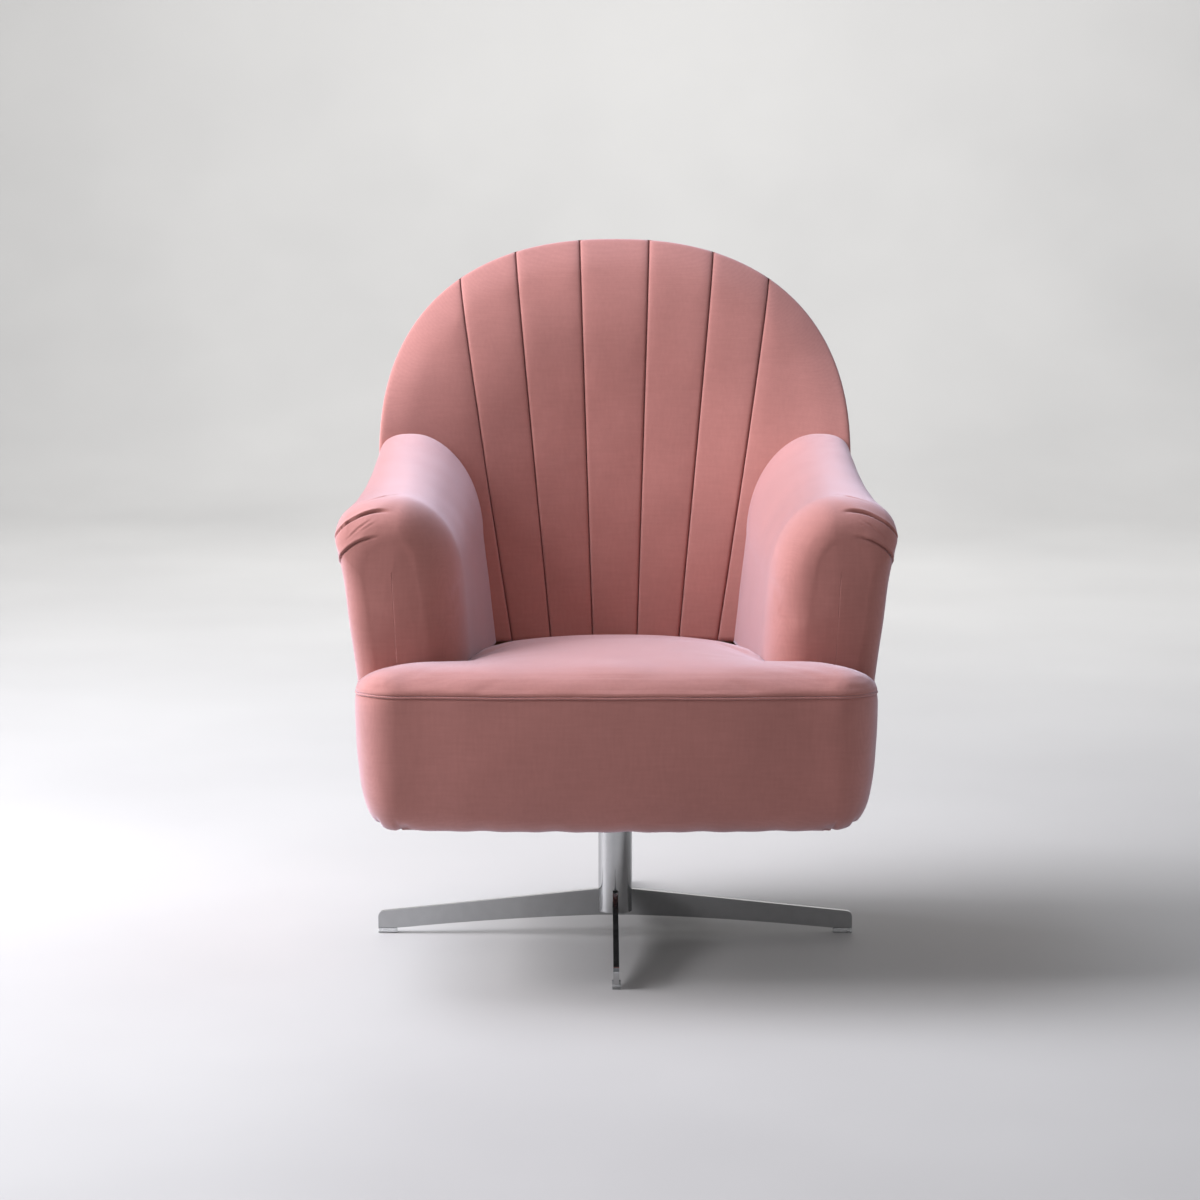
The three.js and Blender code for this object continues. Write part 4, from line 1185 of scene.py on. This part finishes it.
def build_dust_cover():
    """Thin black cloth under the seat, with a slot for the column's travel, sagging a little."""
    outline = inset(box_outline(), 50 * MM)
    slot_x, slot_y = 36 * MM, 78 * MM
    angle = np.arctan2(outline[:, 1], outline[:, 0])
    reach = np.minimum(slot_x / np.maximum(np.abs(np.cos(angle)), 1e-9),
                       slot_y / np.maximum(np.abs(np.sin(angle)), 1e-9))
    slot = np.stack([np.cos(angle) * reach, np.sin(angle) * reach], axis=1)
    shares = np.linspace(0, 1, 16)
    middle = (COVER_LOW.z + COVER_HIGH.z) / 2
    points = []
    for share in shares:
        sag = 1.5 * MM * math.sin(math.pi * share)
        points += [(px, py, middle - sag) for px, py in mix(outline, slot, share)]
    faces = grid_faces(len(shares), len(outline), wrap=True)
    cloth = make_piece("dust_cloth", points, faces, DUST_CLOTH)
    modifier = cloth.modifiers.new("cloth", "SOLIDIFY")
    modifier.thickness = 0.8 * MM
    modifier.offset = 0
    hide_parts("dust_cover")


# ---- Pedestal ----

def build_tube():
    """The column, round and slotted at its foot over the blades."""
    radius, wall = TUBE_HIGH.x, 2 * MM
    around = 128
    slot_half = BLADE_HIGH.x + 0.4 * MM
    slot_top = BLADE_HIGH.z + 2 * MM
    a = (np.arange(around) + 0.5) / around * 2 * math.pi
    edge = 1.0 * MM
    profile = [(radius - wall + edge, TUBE_LOW.z), (radius - edge, TUBE_LOW.z), (radius, TUBE_LOW.z + edge),
               (radius, slot_top + edge), (radius, TUBE_HIGH.z - edge), (radius - edge, TUBE_HIGH.z),
               (radius - wall + edge, TUBE_HIGH.z), (radius - wall, TUBE_HIGH.z - edge),
               (radius - wall, slot_top + edge), (radius - wall, TUBE_LOW.z + edge)]
    points = np.array([(r * math.cos(v), r * math.sin(v), z) for v in a for r, z in profile])
    faces = outward(points, hoop_faces(around, len(profile)))
    tube = make_piece("column", points, faces, CHROME, "base")
    slots = [block_cutter(0.04, slot_half, slot_top), block_cutter(slot_half, 0.04, slot_top)]
    for cutter in slots:
        modifier = tube.modifiers.new("slot", "BOOLEAN")
        modifier.operation = "DIFFERENCE"
        modifier.object = cutter
        modifier.solver = "EXACT"
    apply_modifiers(tube)
    for cutter in slots:
        bpy.data.objects.remove(cutter)
    tube.data.shade_smooth()
    tube.data.set_sharp_from_angle(angle=math.radians(35))
    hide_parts("column_tube")


def block_cutter(x, y, top):
    """A block round the column's axis that only shapes another piece, from its half sizes and its top."""
    corners = [(sx * x, sy * y, z) for z in (0.0, top) for sx, sy in ((-1, -1), (1, -1), (1, 1), (-1, 1))]
    quads = [(0, 1, 2, 3), (4, 5, 6, 7), (0, 1, 5, 4), (1, 2, 6, 5), (2, 3, 7, 6), (3, 0, 4, 7)]
    mesh = new_mesh("cutter", corners, quads)
    work = bmesh.new()
    work.from_mesh(mesh)
    bmesh.ops.recalc_face_normals(work, faces=work.faces)
    work.to_mesh(mesh)
    work.free()
    return place_object("cutter", mesh)


# ---- Stage ----

def add_camera():
    data = bpy.data.cameras.new("camera")
    data.lens = 99
    data.sensor_width = 36
    camera = place_object("camera", data)
    camera.location = (-0.0224, -4.781, 1.1066)
    camera.rotation_euler = (math.radians(90 - 7.287), 0, 0)
    bpy.context.scene.camera = camera


def add_light(name, location, target, size, power, color):
    data = bpy.data.lights.new(name, "AREA")
    data.shape = "RECTANGLE"
    data.size, data.size_y = size
    data.energy = power
    data.color = color
    light = place_object(name, data)
    light.location = location
    aim = Vector(target) - Vector(location)
    light.rotation_euler = aim.to_track_quat("-Z", "Y").to_euler()


def add_stage():
    """A floor that bends up into a backdrop."""
    size, flat, bend, rise = 14.0, 5.8, 2.4, 5.0
    turn = np.linspace(0, math.pi / 2, 24)[1:]
    profile = [(-size, 0.0), (flat, 0.0)]
    profile += [(flat + bend * math.sin(v), bend * (1 - math.cos(v))) for v in turn]
    profile += [(flat + bend, bend + rise)]
    points = [(x, y, z) for y, z in profile for x in (-size, size)]
    mesh = new_mesh("floor", points, grid_faces(len(profile), 2))
    mesh.shade_smooth()
    floor = place_object("floor", mesh)
    material, shader, g = new_material("floor")
    cloud = g.noise(1.2, 3.0)
    g.feed(shader, Base_Color=g.ramp(cloud, (0.42, 0.418, 0.412), (0.46, 0.458, 0.45)),
           Roughness=g.span(cloud, 0.55, 0.65))
    mesh.materials.append(material)


def add_world():
    """Soft light all round, stronger from above."""
    world = bpy.data.worlds.new("studio")
    bpy.context.scene.world = world
    world.use_nodes = True
    background = world.node_tree.nodes["Background"]
    background.inputs[0].default_value = (0.9, 0.93, 1.0, 1)
    g = Graph(world)
    upward = g.node("SeparateXYZ", {0: g.node("TexCoord").outputs["Generated"]}).outputs[2]
    strength = g.node("MapRange", {0: upward, 1: -0.1, 2: 0.8, 3: 0.11, 4: 0.28}).outputs[0]
    world.node_tree.links.new(strength, background.inputs[1])


def add_lights():
    add_light("backdrop", (0, 3.4, 4.6), (0, 7.4, 1.4), (5.0, 1.2), 420, (1.0, 0.99, 0.98))
    add_light("window", (-3.2, -0.2, 2.3), (0, 0, 0.6), (2.4, 2.4), 268, (0.97, 0.95, 1.0))
    add_light("sky", (-1.5, 0.6, 3.2), (0, 0, 0.5), (2.0, 1.8), 86, (0.88, 0.91, 1.0))
    add_light("rim", (3.0, 0.4, 2.0), (0, 0, 0.6), (1.2, 2.2), 13, (1.0, 0.95, 0.96))
    add_light("fill", (1.9, -3.6, 2.2), (0, 0, 0.6), (2.6, 2.0), 17, (1.0, 0.96, 0.94))


bpy.context.scene.view_settings.view_transform = "Standard"
add_camera()
add_stage()
add_world()
add_lights()
finish_frame()
build_tube()
build_back()
build_arms()
build_border()
build_seat()
build_welt()
build_dust_cover()
